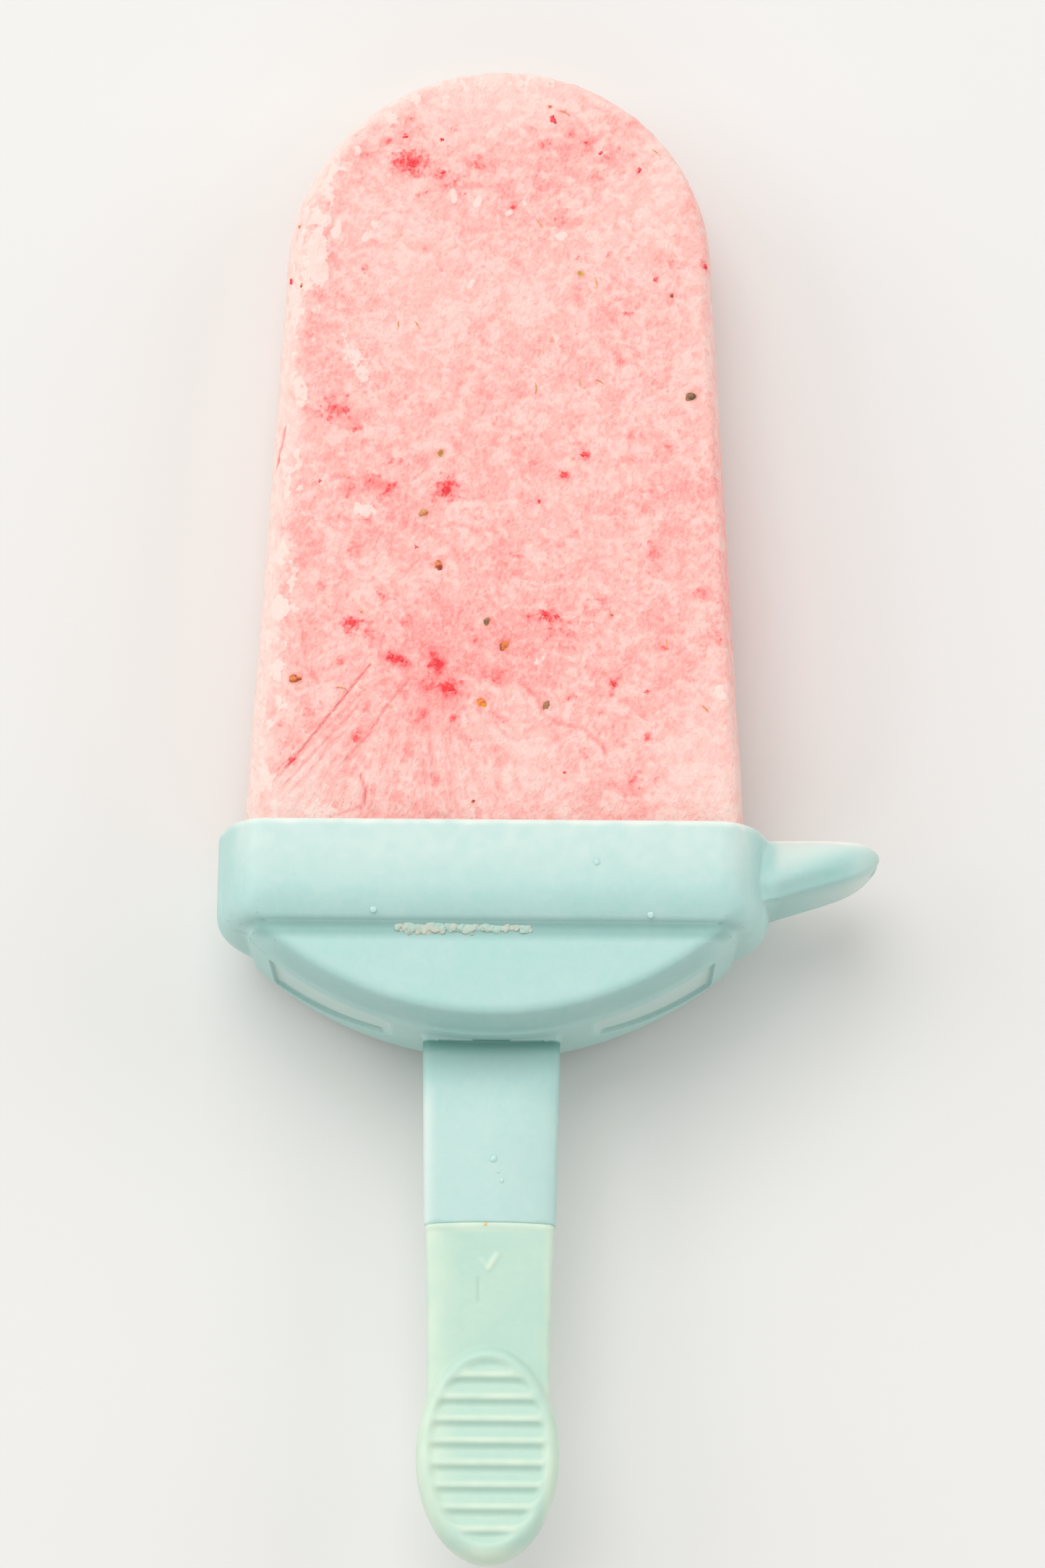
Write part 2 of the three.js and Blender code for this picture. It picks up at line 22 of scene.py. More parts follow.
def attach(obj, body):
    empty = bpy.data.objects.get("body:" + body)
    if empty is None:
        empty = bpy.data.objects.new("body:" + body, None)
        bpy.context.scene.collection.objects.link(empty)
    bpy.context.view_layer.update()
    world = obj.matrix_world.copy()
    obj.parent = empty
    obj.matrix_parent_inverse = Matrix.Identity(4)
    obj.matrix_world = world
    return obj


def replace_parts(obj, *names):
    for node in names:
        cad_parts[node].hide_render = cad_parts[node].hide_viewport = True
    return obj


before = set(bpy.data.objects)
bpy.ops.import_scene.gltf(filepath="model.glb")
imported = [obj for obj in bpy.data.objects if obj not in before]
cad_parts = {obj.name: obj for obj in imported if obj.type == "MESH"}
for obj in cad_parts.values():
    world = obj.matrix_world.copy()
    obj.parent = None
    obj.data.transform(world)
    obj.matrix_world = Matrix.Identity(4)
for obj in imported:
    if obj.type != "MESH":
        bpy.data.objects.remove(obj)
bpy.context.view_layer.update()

log = logging.getLogger("ice_pop")

MM = 0.001
BODY = "root"
RANDOM_SEED = 7

Ring = Sequence[Vector]
Place = tuple[float, float]
Value = float | tuple | bpy.types.NodeSocket


class Carving(Enum):
    """How one solid is combined with another."""

    JOIN = "UNION"
    CUT = "DIFFERENCE"
    KEEP_COMMON = "INTERSECT"


class Slot(Enum):
    """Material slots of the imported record."""

    ICE = "fruit_ice"
    GUARD = "guard_plastic"
    GRIP = "grip_plastic"


# ---- the pop's frame and the mesh tools ------------------------------------------------


@dataclass(frozen=True)
class RestingPose:
    """The pop lies on its back, on the rim of its tray and on its tip."""

    tray_half_depth: float = 13.5
    tip_half_depth: float = 8.84
    tip_touch: float = 101.3
    flat_sink: float = 0.12

    def tilt(self) -> float:
        """Angle by which the front face leans back towards the tip."""
        return math.atan2(self.tray_half_depth - self.tip_half_depth, self.tip_touch)

    def matrix(self) -> Matrix:
        """Turns millimetres of the pop's frame into metres of the row's frame.

        Returns:
            The scale, the lean and the lift as one matrix.
        """
        flat_width = self.flat_sink / math.tan(self.tilt())
        height = self.tray_half_depth - self.flat_sink / 2
        turned = Matrix.Rotation(-self.tilt(), 4, "X")
        return Matrix.Scale(MM, 4) @ turned @ Matrix.Translation((0, flat_width / 2, height))


POSE = RestingPose()


def softened(value: float, squareness: float) -> float:
    """Signed power that turns a circle into a superellipse.

    Args:
        value: a sine or cosine.
        squareness: 2 for a circle, more for a squarer curve.

    Returns:
        The value on the superellipse.
    """
    return math.copysign(abs(value) ** (2 / squareness), value)


def smooth_share(value: np.ndarray, low: float, high: float) -> np.ndarray:
    """Share from 0 at low to 1 at high, with soft ends.

    Args:
        value: values to place between the two.
        low: where the share is 0.
        high: where the share is 1; it may be the smaller one.

    Returns:
        The shares.
    """
    share = np.clip((value - low) / (high - low), 0, 1)
    return share * share * (3 - 2 * share)


def loft(rings: Sequence[Ring]) -> bmesh.types.BMesh:
    """Closed skin through rings of equal length.

    Args:
        rings: flat rings of points, each in the same order.

    Returns:
        A closed mesh: the first ring extruded from one place to the next, and both ends filled.
    """
    bm = bmesh.new()
    bmesh.ops.create_circle(bm, cap_ends=False, radius=1, segments=len(rings[0]))
    step = bm.verts.layers.int.new("step")
    for index, vert in enumerate(bm.verts):
        vert[step] = index
        vert.co = rings[0][index]
    edges = bm.edges[:]
    for ring in rings[1:]:
        made = bmesh.ops.extrude_edge_only(bm, edges=edges)["geom"]
        verts = {item for item in made if isinstance(item, bmesh.types.BMVert)}
        for vert in verts:
            vert.co = ring[vert[step]]
        edges = [
            item for item in made
            if isinstance(item, bmesh.types.BMEdge) and all(vert in verts for vert in item.verts)
        ]
    bmesh.ops.holes_fill(bm, edges=bm.edges, sides=0)
    bmesh.ops.recalc_face_normals(bm, faces=bm.faces)
    bm.verts.index_update()

    def rank(item: bmesh.types.BMEdge | bmesh.types.BMFace) -> int:
        """Number by which edges and faces stand in the same order on every run."""
        corners = [vert.index for vert in item.verts]
        return min(corners) * len(bm.verts) + max(corners)

    bm.edges.sort(key=rank)
    bm.faces.sort(key=rank)
    return bm


def solid_object(name: str, bm: bmesh.types.BMesh) -> bpy.types.Object:
    """Object made of a bmesh, still in the pop's frame.

    Args:
        name: the object's name.
        bm: the mesh; it is freed.

    Returns:
        The new object.
    """
    mesh = bpy.data.meshes.new(name)
    bm.to_mesh(mesh)
    bm.free()
    piece = bpy.data.objects.new(name, mesh)
    bpy.context.scene.collection.objects.link(piece)
    return piece


def settle(piece: bpy.types.Object) -> None:
    """Puts what the piece's modifiers make into its mesh and takes the modifiers off.

    Args:
        piece: the object whose modifiers are taken up.
    """
    graph = bpy.context.evaluated_depsgraph_get()
    old = piece.data
    made = bpy.data.meshes.new_from_object(piece.evaluated_get(graph))
    piece.modifiers.clear()
    piece.data = made
    made.name = piece.name
    bpy.data.meshes.remove(old)


def carve(base: bpy.types.Object, tool: bpy.types.Object, how: Carving) -> None:
    """Combines a solid with another one, which is used up.

    Args:
        base: the solid that stays.
        tool: the other solid.
        how: join, cut or keep what they share.
    """
    modifier = base.modifiers.new("carve", "BOOLEAN")
    modifier.operation = how.value
    modifier.solver = "EXACT"
    modifier.object = tool
    settle(base)
    bpy.data.objects.remove(tool)


def even_skin(piece: bpy.types.Object, cell: float, rounds: int) -> None:
    """Gives a solid an even skin of small faces whose edges are softly rounded.

    Args:
        piece: the solid.
        cell: width of a face in millimetres.
        rounds: how often the skin is smoothed.
    """
    remesh = piece.modifiers.new("even skin", "REMESH")
    remesh.mode = "VOXEL"
    remesh.voxel_size = cell
    if rounds:
        smooth = piece.modifiers.new("soft edges", "SMOOTH")
        smooth.factor = 0.5
        smooth.iterations = rounds
    settle(piece)


def thin_out(piece: bpy.types.Object, most: int) -> None:
    """Merges faces where the surface is flattest, until no more than so many triangles are left.

    Args:
        piece: the object to thin out.
        most: number of triangles that may be left.
    """
    triangles = sum(len(face.vertices) - 2 for face in piece.data.polygons)
    if triangles > most:
        thinner = piece.modifiers.new("thinner", "DECIMATE")
        thinner.ratio = most / triangles
        settle(piece)


def cut_loops(piece: bpy.types.Object, levels: Iterable[float]) -> None:
    """Cuts an edge loop round the piece at each height, so that painted layers run evenly there.

    Args:
        piece: the object to cut.
        levels: heights along Y, in millimetres.
    """
    bm = bmesh.new()
    bm.from_mesh(piece.data)
    for level in levels:
        bmesh.ops.bisect_plane(bm, geom=[*bm.verts, *bm.edges, *bm.faces], dist=1e-4,
                               plane_co=(0, level, 0), plane_no=(0, 1, 0))
    bmesh.ops.triangulate(bm, faces=[face for face in bm.faces if len(face.verts) > 3])
    bm.to_mesh(piece.data)
    bm.free()


def points_of(piece: bpy.types.Object) -> np.ndarray:
    """The piece's vertices as rows of x, y and z.

    Args:
        piece: the object to read.

    Returns:
        One row for each vertex.
    """
    flat = np.empty(3 * len(piece.data.vertices), np.float32)
    piece.data.vertices.foreach_get("co", flat)
    return flat.reshape(-1, 3).astype(float)


def normals_of(piece: bpy.types.Object) -> np.ndarray:
    """The normals at the piece's vertices.

    Args:
        piece: the object to read.

    Returns:
        One row for each vertex.
    """
    flat = np.empty(3 * len(piece.data.vertices), np.float32)
    piece.data.vertex_normals.foreach_get("vector", flat)
    return flat.reshape(-1, 3).astype(float)


def move_points(piece: bpy.types.Object, points: np.ndarray) -> None:
    """Puts the piece's vertices at new places."""
    piece.data.vertices.foreach_set("co", points.astype(np.float32).ravel())
    piece.data.update()


def paint(piece: bpy.types.Object, name: str, values: np.ndarray) -> None:
    """Stores one number for each vertex, which a material reads by its name."""
    layer = piece.data.attributes.new(name, "FLOAT", "POINT")
    layer.data.foreach_set("value", values.astype(np.float32))


def rough_field(points: np.ndarray, size: float, seed: float = 0.0) -> np.ndarray:
    """Smooth random field, about -1 to 1, at each point.

    Args:
        points: rows of x, y and z.
        size: width of its waves in millimetres.
        seed: moves the field to another part of the pattern.

    Returns:
        The field's values.
    """
    shift = Vector((seed, 2.3 * seed, -1.7 * seed))
    return np.array([noise.noise(Vector(point) / size + shift) for point in points])


def lay_down(piece: bpy.types.Object, material: bpy.types.Material) -> bpy.types.Object:
    """Finishes a piece: lays it on the table, dresses it and lets it ride on the pop's body.

    Args:
        piece: the piece, in the pop's frame.
        material: its material.

    Returns:
        The same piece.
    """
    piece.data.transform(POSE.matrix())
    points = points_of(piece)
    points[:, 2] = np.maximum(points[:, 2], 0)
    move_points(piece, points)
    piece.data.materials.clear()
    piece.data.materials.append(material)
    piece.data.shade_smooth()
    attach(piece, BODY)
    triangles = sum(len(face.vertices) - 2 for face in piece.data.polygons)
    log.info("%s: %d triangles", piece.name, triangles)
    return piece


def uneven_ball(bm: bmesh.types.BMesh, size: Sequence[float], unevenness: float,
                waves: float, start: float) -> list:
    """Adds an uneven little ball at the origin.

    Args:
        bm: the mesh that it is added to.
        size: its three widths in millimetres.
        unevenness: share by which its surface goes in and out.
        waves: how many dents there are.
        start: where in the random pattern the dents are taken from.

    Returns:
        Its vertices.
    """
    made = bmesh.ops.create_icosphere(bm, subdivisions=3, radius=0.5)["verts"]
    for vert in made:
        vert.co *= 1 + unevenness * noise.noise(waves * vert.co + Vector((start, 0, 0)))
    bmesh.ops.scale(bm, verts=made, vec=size)
    return made


# ---- materials -------------------------------------------------------------------------


class Wiring:
    """Adds nodes to one node tree and links them."""

    def __init__(self, tree: bpy.types.NodeTree) -> None:
        """Takes the tree that is wired."""
        self.tree = tree

    def add(self, kind: str, settings: dict | None = None, **inputs) -> bpy.types.Node:
        """One node, set and linked.

        Args:
            kind: the node's type name.
            settings: the node's own properties.
            **inputs: values or output sockets for its inputs, by name, spaces as underscores;
                a name such as i0 means the input of that number.

        Returns:
            The node.
        """
        node = self.tree.nodes.new(kind)
        for name, value in (settings or {}).items():
            setattr(node, name, value)
        for name, value in inputs.items():
            by_number = name[0] == "i" and name[1:].isdigit()
            socket = node.inputs[int(name[1:]) if by_number else name.replace("_", " ")]
            if isinstance(value, bpy.types.NodeSocket):
                self.tree.links.new(value, socket)
            else:
                socket.default_value = value
        return node

    def math(self, operation: str, *values: Value, clamp: bool = False) -> bpy.types.NodeSocket:
        """Result of a Math node on the given values or sockets.

        Args:
            operation: what the node works out.
            *values: its inputs, as numbers or sockets.
            clamp: whether the result is kept between 0 and 1.

        Returns:
            The socket of the result.
        """
        inputs = {f"i{index}": value for index, value in enumerate(values)}
        settings = {"operation": operation, "use_clamp": clamp}
        return self.add("ShaderNodeMath", settings, **inputs).outputs[0]

    def blend(self, share: Value, first: Value, second: Value) -> bpy.types.NodeSocket:
        """Colour between two colours.

        Args:
            share: how much of the second colour.
            first: colour or socket.
            second: colour or socket.

        Returns:
            The mixed colour's socket.
        """
        node = self.add("ShaderNodeMix", {"data_type": "RGBA"})
        for number, value in ((0, share), (6, first), (7, second)):
            if isinstance(value, bpy.types.NodeSocket):
                self.tree.links.new(value, node.inputs[number])
            else:
                node.inputs[number].default_value = value
        return node.outputs[2]

    def cover(self, color: Value, layers: Iterable[tuple]) -> bpy.types.NodeSocket:
        """Colour under a pile of thin layers.

        Args:
            color: the lowest colour.
            layers: mask, share of cover where the mask is full, and tone of each, upwards.

        Returns:
            The uppermost colour's socket.
        """
        for mask, share, tone in layers:
            color = self.blend(self.math("MULTIPLY", mask, share), color, tone)
        return color

    def ramp(self, value: Value, low: float, high: float) -> bpy.types.NodeSocket:
        """Share from 0 at low to 1 at high, with soft ends.

        Args:
            value: number or socket.
            low: where the share leaves 0.
            high: where it reaches 1.

        Returns:
            The socket of the share.
        """
        node = self.add(
            "ShaderNodeMapRange", {"interpolation_type": "SMOOTHSTEP"},
            Value=value, From_Min=low, From_Max=high,
        )
        return node.outputs[0]

    def painted(self, name: str) -> bpy.types.NodeSocket:
        """A number that the mesh carries under this name."""
        return self.add("ShaderNodeAttribute", {"attribute_name": name}).outputs["Fac"]


def rgb(red: int, green: int, blue: int) -> tuple[float, float, float, float]:
    """Linear colour from the 0 to 255 values of a screen colour.

    Args:
        red: red value.
        green: green value.
        blue: blue value.

    Returns:
        Red, green, blue and full cover.
    """
    def linear(value: int) -> float:
        """One channel, from the screen's curve to light."""
        share = value / 255
        return share / 12.92 if share <= 0.04045 else ((share + 0.055) / 1.055) ** 2.4
    return (linear(red), linear(green), linear(blue), 1.0)


def node_group(name: str, inputs: dict[str, str], outputs: dict[str, str]) -> bpy.types.NodeTree:
    """Empty shader node group with named sockets.

    Args:
        name: the group's name.
        inputs: socket type name for each input's name.
        outputs: socket type name for each output's name.

    Returns:
        The group, with its input and output nodes in it.
    """
    group = bpy.data.node_groups.new(name, "ShaderNodeTree")
    for sockets, way in ((inputs, "INPUT"), (outputs, "OUTPUT")):
        for socket, kind in sockets.items():
            group.interface.new_socket(name=socket, in_out=way, socket_type=kind)
    return group


FLOAT, VECTOR = "NodeSocketFloat", "NodeSocketVector"


class Patterns:
    """Node groups that several finishes share."""

    def __init__(self) -> None:
        """Builds each group once."""
        self.grain = self._grain()
        self.mottle = self._mottle()
        self.specks = self._specks()
        self.combed = self._combed()

    @staticmethod
    def _grain() -> bpy.types.NodeTree:
        """Fine grain: a noise, stretched along the pop.

        Returns:
            The node group.
        """
        group = node_group(
            "fine grain",
            {"Place": VECTOR, "Size": FLOAT, "Stretch": FLOAT},
            {"Height": FLOAT},
        )
        wiring = Wiring(group)
        given = wiring.add("NodeGroupInput").outputs
        across = wiring.math("DIVIDE", 1.0, given["Size"])
        along = wiring.math("DIVIDE", across, given["Stretch"])
        rate = wiring.add("ShaderNodeCombineXYZ", X=across, Y=along, Z=across).outputs[0]
        place = wiring.add("ShaderNodeVectorMath", {"operation": "MULTIPLY"},
                           i0=given["Place"], i1=rate).outputs[0]
        coarse = wiring.add("ShaderNodeTexNoise", Vector=place, Scale=1.0, Detail=3.0,
                            Roughness=0.62, Distortion=0.25).outputs[0]
        wiring.add("NodeGroupOutput", Height=coarse)
        return group

    @staticmethod
    def _mottle() -> bpy.types.NodeTree:
        """Patches with feathered edges that cover a share of the surface.

        Returns:
            The node group.
        """
        group = node_group(
            "mottle",
            {"Place": VECTOR, "Size": FLOAT, "Cover": FLOAT, "Feather": FLOAT},
            {"Mask": FLOAT},
        )
        wiring = Wiring(group)
        given = wiring.add("NodeGroupInput").outputs
        rate = wiring.math("DIVIDE", 1.0, given["Size"])
        field_value = wiring.add("ShaderNodeTexNoise", Vector=given["Place"], Scale=rate, Detail=5.0,
                                 Roughness=0.6, Distortion=0.6).outputs[0]
        level = wiring.math("SUBTRACT", 0.72, wiring.math("MULTIPLY", given["Cover"], 0.44))
        low = wiring.math("SUBTRACT", level, given["Feather"])
        high = wiring.math("ADD", level, given["Feather"])
        mask = wiring.add("ShaderNodeMapRange", {"interpolation_type": "SMOOTHSTEP"},
                          Value=field_value, From_Min=low, From_Max=high).outputs[0]
        wiring.add("NodeGroupOutput", Mask=mask)
        return group

    @staticmethod
    def _specks() -> bpy.types.NodeTree:
        """Small round spots, of which only a share is kept.

        Returns:
            The node group.
        """
        group = node_group(
            "specks",
            {"Place": VECTOR, "Spacing": FLOAT, "Radius": FLOAT, "Kept": FLOAT},
            {"Mask": FLOAT},
        )
        wiring = Wiring(group)
        given = wiring.add("NodeGroupInput").outputs
        rate = wiring.math("DIVIDE", 1.0, given["Spacing"])
        wander = wiring.add("ShaderNodeTexNoise", Vector=given["Place"], Scale=0.9, Detail=2.0).outputs[1]
        place = wiring.add("ShaderNodeVectorMath", {"operation": "MULTIPLY_ADD"},
                           i0=wander, i1=(0.8, 0.8, 0.8), i2=given["Place"]).outputs[0]
        cells = wiring.add("ShaderNodeTexVoronoi", Vector=place, Scale=rate)
        size = wiring.math("DIVIDE", given["Radius"], given["Spacing"])
        spot = wiring.add("ShaderNodeMapRange", {"interpolation_type": "SMOOTHSTEP"},
                          Value=cells.outputs["Distance"], From_Min=size,
                          From_Max=wiring.math("MULTIPLY", size, 0.35)).outputs[0]
        chance = wiring.add("ShaderNodeSeparateColor", Color=cells.outputs["Color"]).outputs[0]
        kept = wiring.math("LESS_THAN", chance, given["Kept"])
        wiring.add("NodeGroupOutput", Mask=wiring.math("MULTIPLY", spot, kept))
        return group

    @staticmethod
    def _combed() -> bpy.types.NodeTree:
        """Fine streaks that fan out from a point high on the left.

        Returns:
            The node group.
        """
        group = node_group(
            "combed",
            {"Place": VECTOR, "Width": FLOAT, "Length": FLOAT},
            {"Height": FLOAT},
        )
        wiring = Wiring(group)
        given = wiring.add("NodeGroupInput").outputs
        offset = wiring.add("ShaderNodeVectorMath", {"operation": "SUBTRACT"},
                            i0=given["Place"], i1=(-9.0, 30.0, 0.0)).outputs[0]
        parts = wiring.add("ShaderNodeSeparateXYZ", Vector=offset).outputs
        angle = wiring.math("ARCTAN2", parts[0], wiring.math("MULTIPLY", parts[1], -1.0))
        reach = wiring.math("SQRT", wiring.math("ADD", wiring.math("MULTIPLY", parts[0], parts[0]),
                                                wiring.math("MULTIPLY", parts[1], parts[1])))
        across = wiring.math("DIVIDE", wiring.math("MULTIPLY", angle, 22.0), given["Width"])
        along = wiring.math("DIVIDE", reach, given["Length"])
        place = wiring.add("ShaderNodeCombineXYZ", X=across, Y=along, Z=parts[2]).outputs[0]
        streaks = wiring.add("ShaderNodeTexNoise", Vector=place, Scale=1.0, Detail=3.0,
                             Roughness=0.6, Distortion=0.3).outputs[0]
        wiring.add("NodeGroupOutput", Height=streaks)
        return group


class Finish:
    """A material under way: its tree, its place on the pop and its shader."""

    def __init__(self, name: str, patterns: Patterns) -> None:
        """Starts a material whose patterns read millimetres of the pop's own frame.

        Args:
            name: the material's name.
            patterns: the shared node groups.
        """
        self.material = bpy.data.materials.new(name)
        self.material.use_nodes = True
        self.material.node_tree.nodes.clear()
        self.wiring = Wiring(self.material.node_tree)
        self.patterns = patterns
        place = self.wiring.add("ShaderNodeTexCoord").outputs["Object"]
        self.place = self.wiring.add(
            "ShaderNodeMapping", Vector=place,
            Scale=(1 / MM, 1 / MM, 1 / MM), Rotation=(POSE.tilt(), 0, 0),
        ).outputs[0]

    def pattern(self, group: bpy.types.NodeTree, place: bpy.types.NodeSocket | None = None,
                **inputs: float) -> bpy.types.NodeSocket:
        """First output of a shared group.

        Args:
            group: the group.
            place: where the pattern is read, if not at the piece's own place.
            **inputs: the group's other inputs, as values or sockets.

        Returns:
            The output's socket.
        """
        node = self.wiring.tree.nodes.new("ShaderNodeGroup")
        node.node_tree = group
        self.wiring.tree.links.new(place or self.place, node.inputs["Place"])
        for name, value in inputs.items():
            socket = node.inputs[name]
            if isinstance(value, bpy.types.NodeSocket):
                self.wiring.tree.links.new(value, socket)
            else:
                socket.default_value = value
        return node.outputs[0]

    def bump(self, height: bpy.types.NodeSocket, depth: float) -> bpy.types.NodeSocket:
        """Normal that shows a relief of so many millimetres."""
        node = self.wiring.add("ShaderNodeBump", Strength=1.0, Distance=depth * MM, Height=height)
        return node.outputs[0]

    def close(self, color: Value, roughness: Value, normal: bpy.types.NodeSocket | None = None,
              **settings) -> bpy.types.Material:
        """Ends the material with its shader.

        Args:
            color: base colour, as a value or a socket.
            roughness: roughness, as a value or a socket.
            normal: socket of the bumped normal, if any.
            **settings: plain values for other inputs of the Principled shader.

        Returns:
            The material.
        """
        shader = self.wiring.add("ShaderNodeBsdfPrincipled", Base_Color=color,
                                 Roughness=roughness, **settings)
        if normal is not None:
            self.wiring.tree.links.new(normal, shader.inputs["Normal"])
        self.wiring.add("ShaderNodeOutputMaterial", Surface=shader.outputs[0])
        return self.material


@dataclass(frozen=True)
class FruitIce:
    """Frozen fruit and cream: pale pink, mottled, with red pulp and frost."""

    flesh: tuple = rgb(255, 189, 181)
    pale: tuple = rgb(255, 215, 206)
    # Cream is also the tone of the painted highlight along the edge.
    cream: tuple = rgb(255, 231, 221)
    rose: tuple = rgb(255, 128, 127)
    pulp: tuple = rgb(243, 36, 52)
    rust: tuple = rgb(236, 112, 78)
    frost: tuple = rgb(255, 226, 217)
    amber: tuple = rgb(226, 140, 90)
    grain_slant: float = math.radians(20)
    relief: float = 0.25

    def material(self, patterns: Patterns) -> bpy.types.Material:
        """The ice's material.

        It reads the painted layers pulp, rust, stain, dip, frost, rim, comb and scrape; dip is painted
        shade in the hollows of the relief, and rim is partly painted highlight along the edge.

        Args:
            patterns: the shared node groups.

        Returns:
            The material.
        """
        finish = Finish("fruit ice", patterns)
        wiring = finish.wiring
        stain, halo, comb = (wiring.painted(name) for name in ("stain", "pulp", "comb"))
        slanted = wiring.add("ShaderNodeMapping", Vector=finish.place,
                             Rotation=(0, 0, self.grain_slant)).outputs[0]
        grain = finish.pattern(patterns.grain, slanted, Size=0.38, Stretch=1.9)
        fuzz = finish.pattern(patterns.grain, slanted, Size=0.16, Stretch=1.6)
        ragged = finish.pattern(patterns.grain, Size=1.1, Stretch=1.0)
        combed = finish.pattern(patterns.combed, Width=0.8, Length=7.0)
        blotch = finish.pattern(patterns.mottle, Size=3.2, Feather=0.09,
                                Cover=wiring.math("MULTIPLY_ADD", stain, 0.7, 0.05))
        cells = finish.pattern(patterns.mottle, Size=1.15, Feather=0.09,
                               Cover=wiring.math("MULTIPLY_ADD", stain, 0.55, 0.1))
        curd = finish.pattern(patterns.mottle, Size=2.4, Cover=0.5, Feather=0.06)
        pepper = finish.pattern(patterns.specks, Spacing=1.7, Radius=0.42, Kept=0.3)
        motes = finish.pattern(patterns.specks, Spacing=6.5, Radius=0.5, Kept=0.22)
        fine = wiring.math("MULTIPLY_ADD", fuzz, 0.5, grain)
        torn = wiring.math("MULTIPLY_ADD", wiring.math("SUBTRACT", grain, 0.5), 1.3, halo)
        torn = wiring.math("MULTIPLY_ADD", wiring.math("SUBTRACT", ragged, 0.5), 1.7, torn)
        torn = wiring.math("MULTIPLY", torn, wiring.ramp(halo, 0.0, 0.12))
        frosty = wiring.math("MULTIPLY_ADD", ragged, 0.6, wiring.painted("frost"))
        frosty = wiring.math("MULTIPLY_ADD", grain, 0.25, frosty)
        # Raggedness of the rim layer: painted highlight along the edge, and paler patches.
        rim_ragged = wiring.math("MULTIPLY_ADD", ragged, 0.8, 0.4)
        color = wiring.cover(self.flesh, (
            (curd, 0.75, self.pale),
            (wiring.ramp(stain, 0.45, 1.1), 0.5, self.rose),
            (blotch, 0.36, self.rose),
            (cells, 0.34, self.rose),
            # Painted shade: rosier where the grain is low.
            (wiring.ramp(fine, 0.74, 0.52), 0.24, self.rose),
            # Painted shade: the hollows of the relief rosier.
            (wiring.painted("dip"), 0.3, self.rose),
            # Painted highlight: paler where the grain is high.
            (wiring.ramp(fine, 0.68, 0.92), 0.45, self.pale),
            (pepper, 0.42, self.rose),
            (motes, 0.5, self.amber),
            (wiring.ramp(torn, 0.1, 0.6), 0.6, self.rose),
            (wiring.ramp(torn, 0.38, 0.95), 0.85, self.pulp),
            (wiring.painted("rust"), 0.7, self.rust),
            (wiring.math("MULTIPLY", wiring.ramp(combed, 0.48, 0.36), comb), 0.26, self.rose),
            (wiring.math("MULTIPLY", wiring.ramp(combed, 0.5, 0.62), comb), 0.5, self.pale),
            # Painted highlight along the tip and the left edge, and the paler patches.
            (wiring.math("MULTIPLY", wiring.painted("rim"), rim_ragged), 1.0, self.cream),
            (wiring.ramp(frosty, 0.77, 0.86), 0.85, self.frost),
            (wiring.painted("scrape"), 0.8, self.pulp),
        ))
        height = wiring.math("MULTIPLY_ADD", fuzz, 0.3, grain)
        height = wiring.math("MULTIPLY_ADD", wiring.math("MULTIPLY", combed, comb), 0.9, height)
        return finish.close(
            color, wiring.math("MULTIPLY_ADD", grain, 0.25, 0.42), finish.bump(height, self.relief),
            Subsurface_Weight=0.3, Subsurface_Radius=(1.0, 0.35, 0.3), Subsurface_Scale=0.9 * MM,
            Specular_IOR_Level=0.3, IOR=1.31,
        )


@dataclass(frozen=True)
class SatinPlastic:
    """Moulded satin plastic, cloudy with condensation."""

    name: str
    base: tuple
    # Pale tone of wear and haze, and of the painted highlights.
    tint: tuple
    # Tone of the painted shade.
    shade_tone: tuple
    roughness: float = 0.42

    def material(self, patterns: Patterns) -> bpy.types.Material:
        """The plastic's material; it reads the painted layers worn and seam: pale wear with painted
        highlight, and painted shade.

        Args:
            patterns: the shared node groups.

        Returns:
            The material.
        """
        finish = Finish(self.name, patterns)
        wiring = finish.wiring
        cloud = finish.pattern(patterns.mottle, Size=9.0, Cover=0.5, Feather=0.2)
        haze_and_sheen = finish.pattern(patterns.mottle, Size=1.4, Cover=0.5, Feather=0.2)
        grain = finish.pattern(patterns.grain, Size=0.3, Stretch=1.0)
        color = wiring.cover(self.base, (
            (cloud, 0.1, self.tint),
            (haze_and_sheen, 0.07, self.tint),
            # Pale wear and painted highlight, sheen and bounce light.
            (wiring.painted("worn"), 1.0, self.tint),
            # Painted shade.
            (wiring.painted("seam"), 1.0, self.shade_tone),
        ))
        rough = wiring.math("MULTIPLY_ADD", cloud, 0.08, self.roughness)
        return finish.close(
            color, rough, finish.bump(grain, 0.014),
            Subsurface_Weight=0.2, Subsurface_Radius=(0.7, 1.0, 0.95), Subsurface_Scale=1.0 * MM,
            Specular_IOR_Level=0.5,
        )


@dataclass(frozen=True)
class SpeckledCoat:
    """Plain finish of a small thing: two tones, mottled, with a little relief."""

    name: str
    base: tuple
    second: tuple
    size: float = 0.4
    roughness: float = 0.5
    relief: float = 0.03

    def material(self, patterns: Patterns) -> bpy.types.Material:
        """The small thing's material.

        Args:
            patterns: the shared node groups.

        Returns:
            The material.
        """
        finish = Finish(self.name, patterns)
        wiring = finish.wiring
        mottle = finish.pattern(patterns.mottle, Size=self.size, Cover=0.5, Feather=0.1)
        grain = finish.pattern(patterns.grain, Size=self.size / 2, Stretch=1.0)
        color = wiring.blend(mottle, self.base, self.second)
        return finish.close(color, self.roughness, finish.bump(grain, self.relief))


# ---- the ice ---------------------------------------------------------------------------


